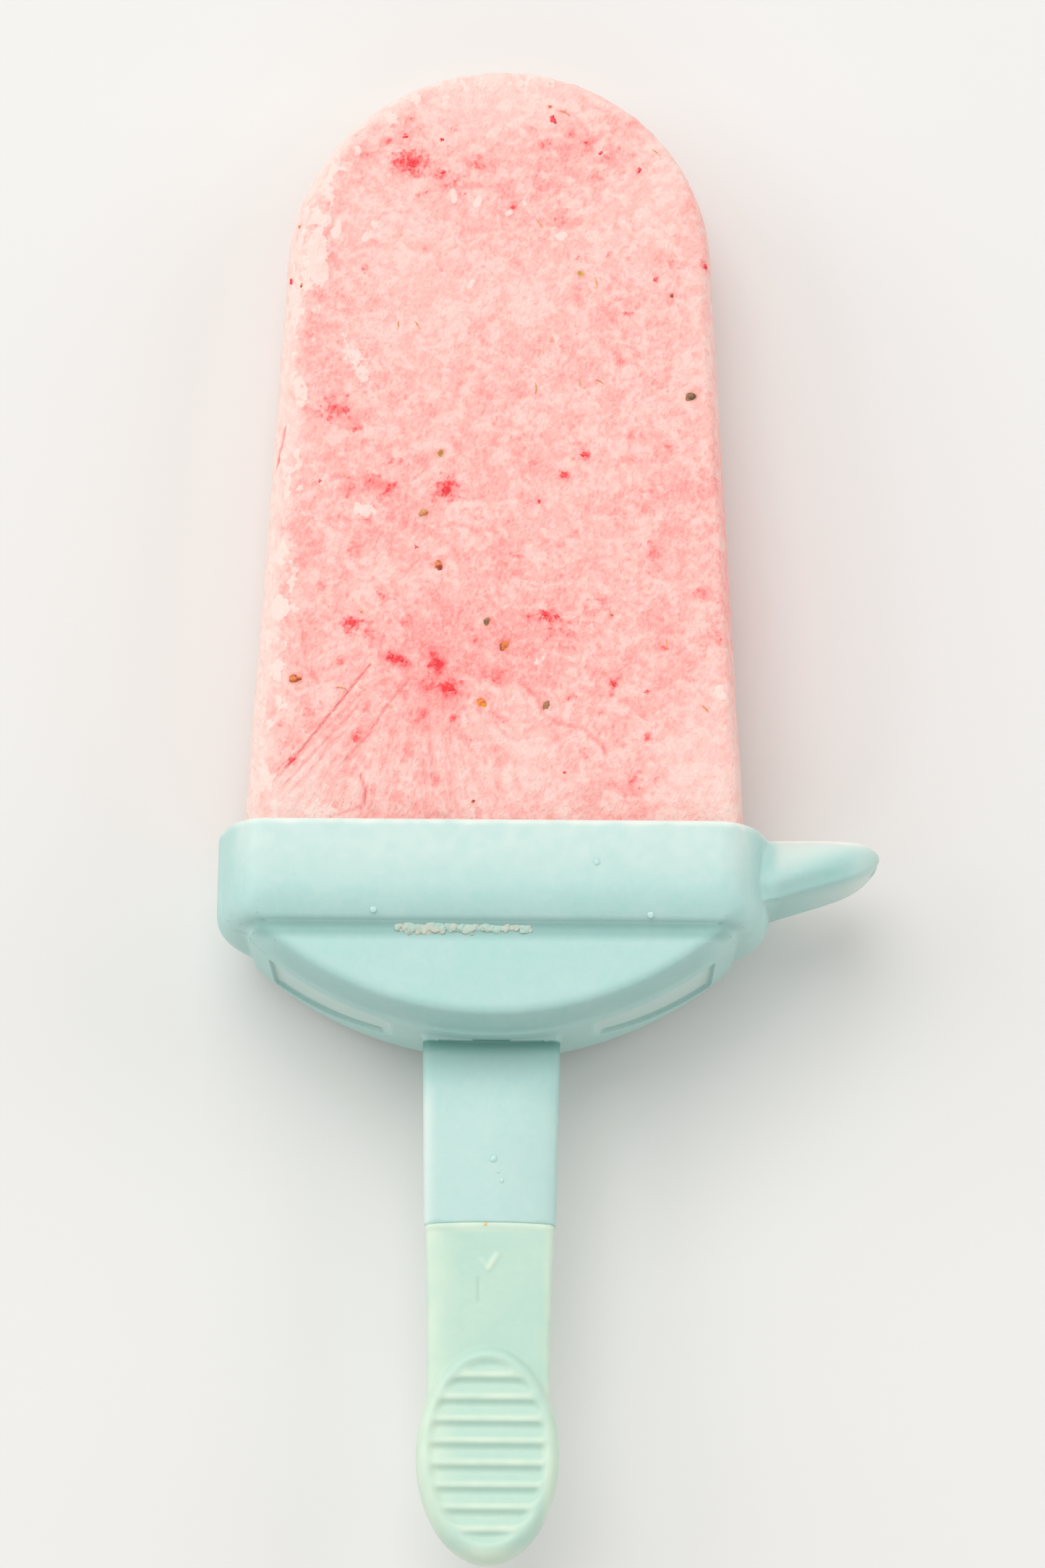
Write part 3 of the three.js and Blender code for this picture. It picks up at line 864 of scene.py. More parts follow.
@dataclass(frozen=True)
class Patch:
    """A soft patch in the front face: where, how wide, how strong, how much longer than wide."""

    x: float
    y: float
    radius: float
    strength: float
    length: float = 1.0
    turn: float = 0.0

    def share(self, x: np.ndarray, y: np.ndarray) -> np.ndarray:
        """The patch's strength at each place: most in the middle, 0 outside.

        Args:
            x: places across.
            y: places along.

        Returns:
            A share from 0 to 1 for each place.
        """
        turn = math.radians(self.turn)
        dx, dy = x - self.x, y - self.y
        across = dx * math.cos(turn) + dy * math.sin(turn)
        along = -dx * math.sin(turn) + dy * math.cos(turn)
        reach = np.hypot(across / self.radius, along / (self.radius * self.length))
        return self.strength * smooth_share(reach, 1.3, 0.1)


@dataclass(frozen=True)
class Line:
    """A line in the front face: its width, its depth and how red it is."""

    points: tuple
    width: float = 0.25
    depth: float = 0.1
    stain: float = 0.4

    def distance(self, x: np.ndarray, y: np.ndarray) -> np.ndarray:
        """Distance of each place from the line.

        Args:
            x: places across.
            y: places along.

        Returns:
            Millimetres for each place.
        """
        nearest = np.full(np.shape(x), 1e3)
        for (x0, y0), (x1, y1) in zip(self.points, self.points[1:]):
            length = math.hypot(x1 - x0, y1 - y0)
            ux, uy = (x1 - x0) / length, (y1 - y0) / length
            along = np.clip((x - x0) * ux + (y - y0) * uy, 0, length)
            nearest = np.minimum(nearest, np.hypot(x - x0 - along * ux, y - y0 - along * uy))
        return nearest


def most(patches: Iterable[Patch], x: np.ndarray, y: np.ndarray) -> np.ndarray:
    """Largest share of any of the patches at each place."""
    return np.maximum.reduce([patch.share(x, y) for patch in patches])


HALOS = (
    (-11.7, 90.0, 2.5, 0.9, 1.3, 80), (-7.6, 88.7, 1.5, 0.6), (-5.8, 87.2, 1.6, 0.4, 2.0, 90),
    (-19.3, 86.6, 1.2, 0.3, 2.0, 90), (-14.7, 93.2, 0.9, 0.55), (-5.8, 95.1, 0.7, 0.6, 1.6, 30),
    (-18.1, 91.2, 0.9, 0.35), (-2.7, 90.3, 1.8, 0.45), (-9.6, 78.0, 0.9, 0.5),
    (-7.9, 75.3, 0.8, 0.35), (-17.5, 75.1, 0.9, 0.35), (-16.6, 79.1, 0.9, 0.35),
    (-24.6, 82.1, 0.8, 0.4), (-2.0, 104.6, 0.5, 0.6, 3.4, 90), (-20.9, 55.7, 2.4, 0.6, 1.4, 90),
    (-18.3, 53.1, 1.0, 0.55), (-13.9, 48.7, 0.9, 0.55), (-12.7, 48.7, 0.8, 0.45),
    (-19.0, 44.9, 1.7, 0.5), (-13.8, 44.5, 0.8, 0.65, 2.2, -40), (-15.9, 45.5, 2.2, 0.4),
    (-6.6, 44.8, 2.4, 0.75), (-2.2, 41.4, 1.0, 0.35), (-16.6, 40.7, 0.9, 0.5),
    (-18.5, 36.5, 2.0, 0.35), (-6.1, 28.6, 0.9, 0.35), (-18.2, 26.2, 2.2, 0.65),
    (-16.4, 25.1, 1.9, 0.5, 1.5, 60), (-12.6, 21.8, 1.2, 0.95, 2.2, 65),
    (-7.6, 21.3, 1.7, 0.8, 1.4), (-5.6, 17.8, 2.1, 0.85), (-8.5, 18.3, 1.9, 0.6),
    (-0.1, 19.5, 1.5, 0.5, 1.6, 90), (-5.2, 13.9, 1.1, 0.5, 1.5, 120),
    (-9.5, 13.9, 0.8, 0.65, 2.0, -40), (-17.4, 11.4, 0.9, 0.6, 2.0, -40), (-25.6, 8.4, 1.0, 0.65),
    (-7.6, 5.7, 1.2, 0.45), (3.8, 95.1, 1.0, 0.55, 1.5, 50), (6.2, 93.1, 1.3, 0.45),
    (8.4, 97.6, 0.7, 0.6, 1.8, 60), (16.0, 89.6, 1.2, 0.55, 1.5), (18.5, 89.5, 1.2, 0.6),
    (10.7, 85.4, 1.0, 0.35), (8.3, 82.3, 1.9, 0.35, 1.6, 90), (14.6, 77.3, 0.6, 0.6),
    (10.5, 76.9, 0.8, 0.6), (23.2, 79.7, 1.0, 0.3), (27.1, 76.1, 1.0, 0.6), (20.7, 73.9, 0.7, 0.6),
    (22.6, 76.3, 0.8, 0.35), (15.2, 18.6, 1.2, 0.65, 1.7), (19.6, 17.5, 0.8, 0.55),
    (13.7, 14.7, 0.6, 0.6), (28.3, 24.8, 1.8, 0.45), (21.5, 23.4, 0.7, 0.45),
    (19.7, 11.7, 0.9, 0.45), (19.2, 14.3, 0.7, 0.4), (15.2, 5.2, 0.7, 0.4), (18.0, 5.2, 1.8, 0.35),
    (21.4, 6.2, 1.3, 0.35), (0.5, 4.3, 0.8, 0.5, 1.6), (6.9, 27.7, 1.6, 0.65, 1.5, 90),
    (4.7, 27.3, 0.9, 0.5), (8.9, 25.9, 3.6, 0.35), (13.0, 28.5, 2.6, 0.3), (16.2, 62.5, 1.1, 0.4),
    (26.5, 30.9, 1.5, 0.4), (20.0, 42.6, 2.0, 0.25), (11.3, 49.6, 1.0, 0.6), (8.8, 46.7, 1.1, 0.6),
    (5.5, 43.0, 0.8, 0.5), (1.8, 84.0, 0.9, 0.6), (17.1, 69.2, 0.9, 0.5), (-25.9, 34.0, 1.6, 0.3),
    (22.0, 50.0, 1.8, 0.3), (2.0, 36.0, 2.2, 0.3), (-14.0, 30.5, 2.2, 0.3), (9.6, 94.6, 1.0, 0.5),
    (11.7, 92.8, 1.2, 0.5), (13.6, 91.2, 1.1, 0.5), (15.6, 92.4, 1.2, 0.4), (17.6, 91.6, 0.9, 0.4),
    (20.3, 36.4, 1.8, 0.4), (20.6, 33.8, 1.2, 0.35), (18.1, 52.3, 1.4, 0.35),
    (13.0, 88.6, 1.2, 0.35), (0.8, 13.8, 1.3, 0.4), (4.5, 18.0, 1.2, 0.3), (-3.0, 10.5, 1.3, 0.35),
    (12.0, 20.5, 1.3, 0.3), (9.5, 16.8, 1.0, 0.4), (-14.0, 8.0, 1.2, 0.3), (-20.0, 21.5, 1.1, 0.4),
    (-23.4, 14.6, 1.2, 0.35), (-27.6, 12.6, 1.1, 0.35), (4.2, 8.2, 1.3, 0.3),
    (11.6, 9.2, 1.2, 0.35), (24.0, 14.0, 1.3, 0.35), (-11.5, 3.4, 1.2, 0.3), (7.4, 37.5, 1.3, 0.3),
    (-22.5, 31.5, 1.3, 0.3), (-9.8, 85.8, 1.4, 0.35), (-21.6, 12.0, 1.2, 0.35),
    (-2.6, 24.8, 1.4, 0.35), (-11.2, 27.0, 1.6, 0.35),
)


class SeedKind(Enum):
    """Ripeness of a strawberry seed, with its two tones."""

    OLIVE = ((172, 122, 36), (222, 172, 66))
    KHAKI = ((196, 104, 66), (214, 158, 92))
    BROWN = ((104, 76, 50), (172, 118, 78))
    AMBER = ((158, 50, 44), (226, 128, 58))
    ORANGE = ((222, 92, 52), (238, 158, 40))


SEEDS = {
    SeedKind.OLIVE: (
        (10.7, 74.7, 150, 0.62), (-7.3, 49.6, 75, 0.62),
    ),
    SeedKind.KHAKI: (
        (-9.3, 41.5, 15, 0.75), (-11.7, 96.5, 90, 0.35), (-17.1, 28.0, 60, 0.4),
        (9.9, 49.0, 40, 0.4), (-26.2, 81.8, 20, 0.35), (2.2, 22.9, 60, 0.3),
    ),
    SeedKind.BROWN: (
        (25.3, 57.7, 15, 0.85), (-1.0, 26.9, 60, 0.7), (6.7, 15.7, 70, 0.65),
    ),
    SeedKind.AMBER: (
        (-7.4, 34.5, 95, 0.82), (1.2, 23.6, 45, 0.82), (-25.5, 19.0, 0, 0.85),
        (15.0, 27.8, 150, 0.45), (22.8, 71.6, 75, 0.5), (-25.7, 73.0, 60, 0.4),
        (-2.6, 2.9, 20, 0.45), (3.9, 13.6, 80, 0.3), (-3.8, 1.8, 60, 0.3),
    ),
    SeedKind.ORANGE: (
        (-1.7, 16.0, 120, 0.8), (6.6, 98.4, 150, 0.45),
    ),
}
VEIN = Line(
    ((3.2, 18.9), (5.5, 16.7), (6.3, 14.5), (7.8, 13.5), (9.9, 13.0), (11.6, 12.6), (12.7, 11.4),
     (13.9, 10.5), (14.3, 9.1)), 0.5, 0.12, 0.42)
LINES = (
    Line(((-15.9, 21.0), (-18.8, 17.2), (-26.4, 7.2)), 0.26, 0.24, 0.85),
    Line(((-16.6, 17.6), (-27.3, 6.0)), 0.25, 0.1, 0.3),
    Line(((-17.4, 15.4), (-26.6, 4.9)), 0.25, 0.12, 0.4),
    Line(((-16.0, 15.6), (-25.8, 4.0)), 0.25, 0.08, 0.25),
    Line(((-19.4, 14.8), (-27.8, 6.6)), 0.22, 0.1, 0.4),
    Line(((-10.8, 19.2), (-13.6, 15.6), (-15.5, 12.6)), 0.34, 0.14, 0.45),
    Line(((-15.5, 12.2), (-19.8, 7.4)), 0.3, 0.1, 0.4),
    Line(((-10.6, 18.4), (-12.4, 13.6)), 0.28, 0.08, 0.25),
    Line(((-16.9, 6.3), (-16.2, 4.0), (-16.4, 2.2)), 0.34, 0.24, 0.6),
    Line(((-16.4, 2.2), (-20.6, 0.8)), 0.34, 0.14, 0.45),
    Line(((-23.4, 20.6), (-22.8, 18.6)), 0.3, 0.08, 0.4),
    Line(((-24.9, 26.6), (-24.2, 21.4)), 0.3, 0.08, 0.35),
    Line(((-20.2, 17.9), (-18.9, 17.7)), 0.26, 0.06, 0.4),
    Line(((-25.0, 14.0), (-27.3, 8.7)), 0.3, 0.08, 0.25),
    Line(((-27.6, 53.6), (-28.2, 51.0), (-28.9, 48.4)), 0.28, 0.3, 0.8),
    Line(((-0.2, 14.5), (0.6, 12.5), (1.8, 11.7)), 0.5, 0.08, 0.25),
    Line(((-0.1, 10.3), (0.5, 8.6), (0.9, 7.0)), 0.5, 0.08, 0.3),
    Line(((4.0, 12.1), (5.5, 12.9), (6.5, 13.9)), 0.4, 0.06, 0.25), VEIN,
)
FROSTED = (
    (-24.0, 77.0, 3.4, 0.5, 2.2, 0), (-27.0, 71.6, 2.0, 0.6, 1.6, 0),
    (-17.0, 41.7, 1.5, 0.6, 1.4, 60), (-27.8, 28.6, 1.6, 0.9, 1.5, 0),
    (-18.5, 62.0, 2.4, 0.45, 2.6, 30), (-4.0, 72.8, 1.8, 0.3, 1.5, 90),
    (17.0, 83.0, 3.5, 0.3, 1.5, 60), (28.8, 17.5, 1.2, 0.6, 1.8, 0),
    (-16.4, 80.5, 2.0, 0.4, 1.4, 0), (5.8, 21.5, 1.6, 0.4, 1.2, 0), (3.0, 14.5, 2.0, 0.35, 1.6, 90),
    (25.0, 4.0, 2.4, 0.3, 1.6, 90), (-22.0, 1.5, 3.0, 0.45, 1.8, 90),
    (-2.0, 31.0, 1.6, 0.3, 1.4, 0),
)
STREAKS = (
    Line(((-21.4, 68.6), (-19.4, 64.0), (-17.0, 60.4)), 0.5, 0, 0.48),
    Line(((-22.2, 67.0), (-18.6, 60.6)), 0.4, 0, 0.42),
    Line(((-20.0, 63.6), (-16.4, 59.0)), 0.4, 0, 0.42),
    Line(((-23.5, 70.0), (-22.0, 66.4)), 0.5, 0, 0.4),
    Line(((-16.4, 42.6), (-18.0, 42.4), (-18.1, 41.6)), 0.4, 0, 0.8),
    Line(((-16.4, 42.6), (-15.5, 41.2)), 0.4, 0, 0.8),
)
PALER = (
    (2.0, 101.0, 16.0, 0.9, 0.5, 0), (18.0, 85.0, 10.0, 0.5, 1.2, -30),
    (-14.0, 82.0, 9.0, 0.25, 1.0, 0), (4.0, 71.0, 10.0, 0.25, 0.7, 0),
    (2.0, 5.0, 13.0, 0.4, 0.6, 0), (25.0, 6.0, 7.0, 0.6, 1.5, 0), (-25.0, 4.0, 6.0, 0.7, 1.0, 0),
    (-13.0, 43.0, 9.0, -0.4, 1.0, 0), (-10.0, 24.0, 8.0, -0.45, 1.0, 0),
    (3.0, 27.0, 9.0, -0.35, 1.0, 0), (26.0, 32.0, 6.0, -0.2, 1.4, 0),
    (28.5, 68.0, 5.0, 0.5, 4.0, -3), (24.0, 94.0, 6.0, 0.7, 1.6, -45),
    (29.5, 8.0, 4.5, 0.45, 4.5, 0), (0.0, 97.0, 10.0, 0.3, 0.7, 0), (-27.0, 2.5, 4.5, 0.6, 0.8, 0),
    (4.0, 14.0, 6.0, 0.4, 1.0, 0), (-9.0, 70.0, 8.0, 0.3, 1.6, 0), (29.6, 3.0, 3.5, 0.4, 1.2, 0),
)
LUMPY = (
    (13.0, 90.0, 11.0, 1.5), (0.0, 94.0, 9.0, 0.8), (-17.0, 45.0, 8.0, 0.8), (0.0, 14.0, 22.0, 0.8),
    (-24.0, 78.0, 7.0, 0.8), (20.0, 28.0, 9.0, 0.4),
)
FLAKES = (
    (-6.0, 85.5, 0.5, 1.0, 5), (-2.9, 84.6, 0.6, 1.0, -10), (1.2, 83.1, 0.6, 0.5, 40),
    (3.2, 84.5, 0.3, 0.4, 40), (-21.4, 80.6, 0.6, 1.4, -15), (-22.6, 82.0, 0.5, 0.6, 20),
    (8.3, 80.0, 0.75, 0.6, 15), (-16.3, 81.5, 0.3, 0.6, 20), (-17.6, 79.6, 0.6, 0.4, 80),
    (-23.6, 77.6, 1.2, 1.8, 10), (-23.4, 74.6, 1.2, 1.8, 0), (-26.9, 72.4, 0.7, 0.9, 0),
    (-3.7, 73.1, 0.9, 0.25, 70), (-28.0, 28.5, 0.8, 1.3, 10),
)


@dataclass
class FrozenBody:
    """The slab of frozen fruit purée, with what shows in its surface."""

    tip_radius: float = 28.3
    tip_centre: float = 76.8
    draft: float = math.radians(2.76)
    foot: float = -11.7
    foot_corner: float = 4.5
    half_depth_at_foot: float = 10.2
    half_depth_at_tip: float = 8.9
    left_reach: float = 4.2
    right_reach: float = 1.9
    squareness: float = 2.2
    cell: float = 0.93
    edge_steps: int = 10
    foot_steps: int = 6
    tip_steps: int = 96
    front_slope: float = 0.25
    smoothing_rounds: int = 3
    waves: tuple = (
        (0.05, 0.37, 0.23, 1.3), (0.04, 0.33, -0.29, 0.2), (0.04, 0.71, -0.52, 2.1), (0.03, 0.2, 0.93, 0.6),
    )
    skin: BVHTree | None = None

    def half_width(self, y: float, inset: float) -> float:
        """Half width of the tapering sides, drawn in by so much."""
        rise = (self.tip_centre - y) * math.sin(self.draft)
        return (self.tip_radius - inset + rise) / math.cos(self.draft)

    def half_depth(self, y: float) -> float:
        """Half depth of the slab at a height above the rim."""
        share = (y - self.foot) / (self.tip_centre + self.tip_radius - self.foot)
        return self.half_depth_at_foot + share * (self.half_depth_at_tip - self.half_depth_at_foot)

    def wave(self, x: float, y: float) -> float:
        """How far the waves of the purée draw the face in or out; arrays work too."""
        return sum(height * np.sin(across * x + along * y + phase)
                   for height, across, along, phase in self.waves)

    def face(self, x: float, y: float) -> float:
        """Height of the finished front face.

        Args:
            x: place across.
            y: place along.

        Returns:
            The height, or a guess at it beside the ice.
        """
        above = 2 * self.half_depth_at_foot
        hit = self.skin.ray_cast(Vector((x, y, above)), Vector((0, 0, -1)))[0]
        return hit.z if hit else self.half_depth(y) / 2

    def ring(self, drawn: float, level: float) -> list[Vector]:
        """Ring of the slab's outline.

        Args:
            drawn: share of the edge's reach by which the ring is drawn in.
            level: share of the half depth at which it lies.

        Returns:
            The ring's points, from the right corner of the foot round the tip to the left one.
        """
        places = []
        corner = self.foot_corner
        for side, reach in ((1, self.right_reach), (-1, self.left_reach)):
            inset = drawn * reach
            middle = side * (self.half_width(self.foot, 0) - corner)
            turns = [math.pi / 2 * step / self.foot_steps for step in range(self.foot_steps + 1)]
            foot = [(middle + side * (corner - inset) * math.sin(a),
                     self.foot + corner - (corner - inset) * math.cos(a)) for a in turns]
            places += foot if side > 0 else foot[::-1]
            if side > 0:
                for step in range(self.tip_steps + 1):
                    angle = -self.draft + (math.pi + 2 * self.draft) * step / self.tip_steps
                    share = (1 - math.cos(angle)) / 2
                    side_reach = self.right_reach + share * (self.left_reach - self.right_reach)
                    radius = self.tip_radius - drawn * side_reach
                    places.append((radius * math.cos(angle), self.tip_centre + radius * math.sin(angle)))
        return [Vector((x, y, level * self.half_depth(y))) for x, y in places]

    def block(self) -> bpy.types.Object:
        """The bare slab: a round tip on tapering sides, its edge fully rounded.

        Returns:
            The slab before its relief.
        """
        rings = []
        for step in range(-self.edge_steps, self.edge_steps + 1):
            angle = math.pi / 2 * step / self.edge_steps
            drawn = 1 - softened(abs(math.cos(angle)), self.squareness)
            rings.append(self.ring(drawn, softened(math.sin(angle), self.squareness)))
        return solid_object("fruit_ice", loft(rings))

    def refine(self, piece: bpy.types.Object) -> None:
        """Splits the faces of the front into nine each, for its fine relief, and evens them out.

        Args:
            piece: the slab, its skin already even.
        """
        bm = bmesh.new()
        bm.from_mesh(piece.data)
        edges = {edge for face in bm.faces if face.normal.z > self.front_slope for edge in face.edges}
        bmesh.ops.subdivide_edges(bm, edges=list(edges), cuts=2, use_grid_fill=True)
        for _ in range(self.smoothing_rounds):
            bmesh.ops.smooth_vert(bm, verts=bm.verts, factor=0.5, use_axis_x=True, use_axis_y=True,
                                  use_axis_z=True)
        bm.to_mesh(piece.data)
        bm.free()

    def edge_distance(self, x: np.ndarray, y: np.ndarray) -> np.ndarray:
        """How far points lie inside the slab's outline."""
        return np.where(y < self.tip_centre, self.half_width(y, 0) - np.abs(x),
                        self.tip_radius - np.hypot(x, y - self.tip_centre))

    def frosted(self, points: np.ndarray, wx: np.ndarray, wy: np.ndarray, left: np.ndarray) -> np.ndarray:
        """Where frost lies: in patches and flakes, in streaks, and in a band along the left edge.

        Args:
            points: rows of x, y and z.
            wx: the points' x, shaken so that edges are ragged.
            wy: the points' y, shaken alike.
            left: how much of the left edge's crumbling a point takes part in.

        Returns:
            The strength of the frost at each point.
        """
        flakes = [Patch(x, y, 1.25 * half_width, 0.95, half_length / half_width, turn)
                  for x, y, half_width, half_length, turn in FLAKES]
        frost = np.maximum(most((Patch(*row) for row in FROSTED), wx, wy), most(flakes, wx, wy))
        for streak in STREAKS:
            share = smooth_share(streak.distance(wx, wy), streak.width, 0)
            frost = np.maximum(frost, streak.stain * share)
        cloud = rough_field(points * (1, 0.6, 1), 1.5, 21.0) + 0.5 * rough_field(points, 0.7, 23.0)
        band = smooth_share(self.edge_distance(*points.T[:2]), 9.0, 1.0) * left
        return np.maximum(frost, 0.75 * (band * smooth_share(cloud, 0.0, 0.4)))

    def pale_rim(self, points: np.ndarray, left: np.ndarray) -> np.ndarray:
        """Where the edge of the face is pale, round the tip and down the left: a painted highlight on the
        rounded edge, with creamy frost.

        Args:
            points: vertices as rows.
            left: how far to the left each one is, from 0 to 1.

        Returns:
            A share for each vertex.
        """
        y = points[:, 1]
        ragged = rough_field(points, 3.0, 11.0) + 0.5 * rough_field(points, 1.2, 12.0)
        share = np.maximum(left, 0.8 * smooth_share(y, 94, 102))
        inside = self.edge_distance(points[:, 0], y)
        return smooth_share(inside + 1.4 * ragged, 1.6 + 3.2 * share, 0.3) * 0.9 * share

    def weather(self, piece: bpy.types.Object) -> None:
        """Gives the bare slab its waves, grain and lines, and the layers that its material reads.

        Args:
            piece: the bare slab.
        """
        points, normals = points_of(piece), normals_of(piece)
        x, y, z = points.T
        front = smooth_share(normals[:, 2], 0.0, 0.4) * (z > 0)
        inside = self.edge_distance(x, y)
        left = smooth_share(x - 0.4 * np.maximum(y - self.tip_centre, 0), 22, -18)
        wx = x + 0.4 * rough_field(points, 1.3, 3.0)
        wy = y + 0.4 * rough_field(points, 1.3, 9.0)
        halos, lumpy = (most((Patch(*row) for row in rows), wx, wy) for rows in (HALOS, LUMPY))
        seeds = [Patch(across, up, 1.15 * size, 0.8)
                 for places in SEEDS.values() for across, up, _, size in places]
        rust = most(seeds, wx, wy)
        frost = self.frosted(points, wx, wy, left)
        line, groove = np.zeros(len(points)), np.zeros(len(points))
        for scratch in LINES:
            distance = scratch.distance(wx * 0.15 + x * 0.85, wy * 0.15 + y * 0.85)
            share = smooth_share(distance, scratch.width, 0)
            line = np.maximum(line, scratch.stain * share)
            groove = np.maximum(groove, scratch.depth * share)

        paler = sum(Patch(*row).share(x, y) for row in PALER)
        # Rim layer: painted highlight along the rounded edge, and the paler patches.
        rim = np.maximum(self.pale_rim(points, left), 0.5 * paler)
        right_edge = smooth_share(inside, 5.5, 2.0) * smooth_share(x, 15, 27)
        stain = 0.4 + 0.03 * smooth_share(y, 46, 22) + 0.05 * lumpy + 0.24 * rough_field(points, 11.0, 5.0)
        # Rosier near the right edge; less stain under the edge's painted highlight and in the paler
        # patches.
        stain += 0.12 * right_edge - 0.7 * rim - 0.5 * paler
        comb = smooth_share(y, 17, 8) * smooth_share(x, 9, -2) * smooth_share(x, -31, -25)

        fine = (0.06 + 0.15 * lumpy) * rough_field(points, 1.4, 1.0)
        fine += 0.08 * rough_field(points, 0.8, 2.0)
        # Painted shade: the hollows of the fine relief, made rosier in the material.
        dip = smooth_share(fine, 0.0, -0.06) * (0.8 + 0.5 * lumpy)
        crumbled = np.abs(rough_field(points, 1.6, 17.0)) + 0.5 * np.abs(rough_field(points, 0.7, 19.0))
        relief = self.wave(x, y) * np.abs(normals[:, 2])
        relief += fine + 0.05 * rough_field(points, 4.5, 6.0)
        relief -= 0.28 * smooth_share(inside, 3.0, 0.5) * left * crumbled
        relief += 0.08 * smooth_share(frost, 0.3, 0.45) - groove * front - 0.05 * halos * front
        move_points(piece, points + normals * relief[:, None])
        for name, values in (("pulp", halos * front), ("rust", rust * front), ("frost", frost * front),
                             ("rim", rim), ("dip", dip), ("scrape", line * front),
                             ("stain", np.clip(stain, 0, 1.2)), ("comb", comb * front)):
            paint(piece, name, values)
        faces = [face.vertices[:] for face in piece.data.polygons]
        self.skin = BVHTree.FromPolygons([vert.co for vert in piece.data.vertices], faces)

    def build(self, patterns: Patterns) -> bpy.types.Object:
        """Makes the finished slab.

        Args:
            patterns: the shared node groups.

        Returns:
            The finished piece.
        """
        piece = self.block()
        even_skin(piece, self.cell, 0)
        self.refine(piece)
        self.weather(piece)
        lay_down(piece, FruitIce().material(patterns))
        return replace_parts(piece, "ice_pop")


KERNELS = (
    (-12.4, 94.0, 0.36), (-7.7, 93.5, 0.3), (7.0, 96.4, 0.5), (11.4, 93.1, 0.28),
    (13.4, 91.8, 0.32), (18.5, 89.5, 0.36), (-6.6, 44.8, 0.6), (-10.2, 36.8, 0.3),
    (-27.2, 74.3, 0.36), (27.1, 76.1, 0.32), (9.0, 6.8, 0.3), (-25.6, 8.4, 0.34),
    (-13.3, 22.2, 0.4), (-11.9, 21.4, 0.3), (-7.6, 21.3, 0.34), (-5.6, 17.8, 0.5),
    (-11.7, 90.0, 0.5), (-7.4, 88.9, 0.34), (15.2, 18.6, 0.32), (19.5, 17.5, 0.28),
    (1.8, 84.0, 0.28), (-18.2, 26.2, 0.36), (11.3, 49.6, 0.44), (8.8, 46.7, 0.46), (5.5, 43.0, 0.3),
    (-22.9, 45.7, 0.26), (6.3, 27.9, 0.36), (7.9, 27.6, 0.36), (-13.9, 44.6, 0.32),
    (20.5, 73.9, 0.24),
)
FIBRES = (
    (12.8, 73.5, 100, 1.8), (5.0, 58.7, 92, 1.6), (10.7, 59.5, 95, 1.3), (13.4, 59.6, 150, 1.6),
    (-13.1, 67.2, 85, 1.4), (-10.6, 67.4, 120, 1.5), (8.6, 97.5, 150, 1.6), (5.3, 81.7, 125, 1.6),
    (27.0, 15.3, 130, 1.6), (20.6, 92.0, 140, 1.5), (22.0, 24.0, 90, 1.2), (-19.6, 17.8, 170, 1.4),
)


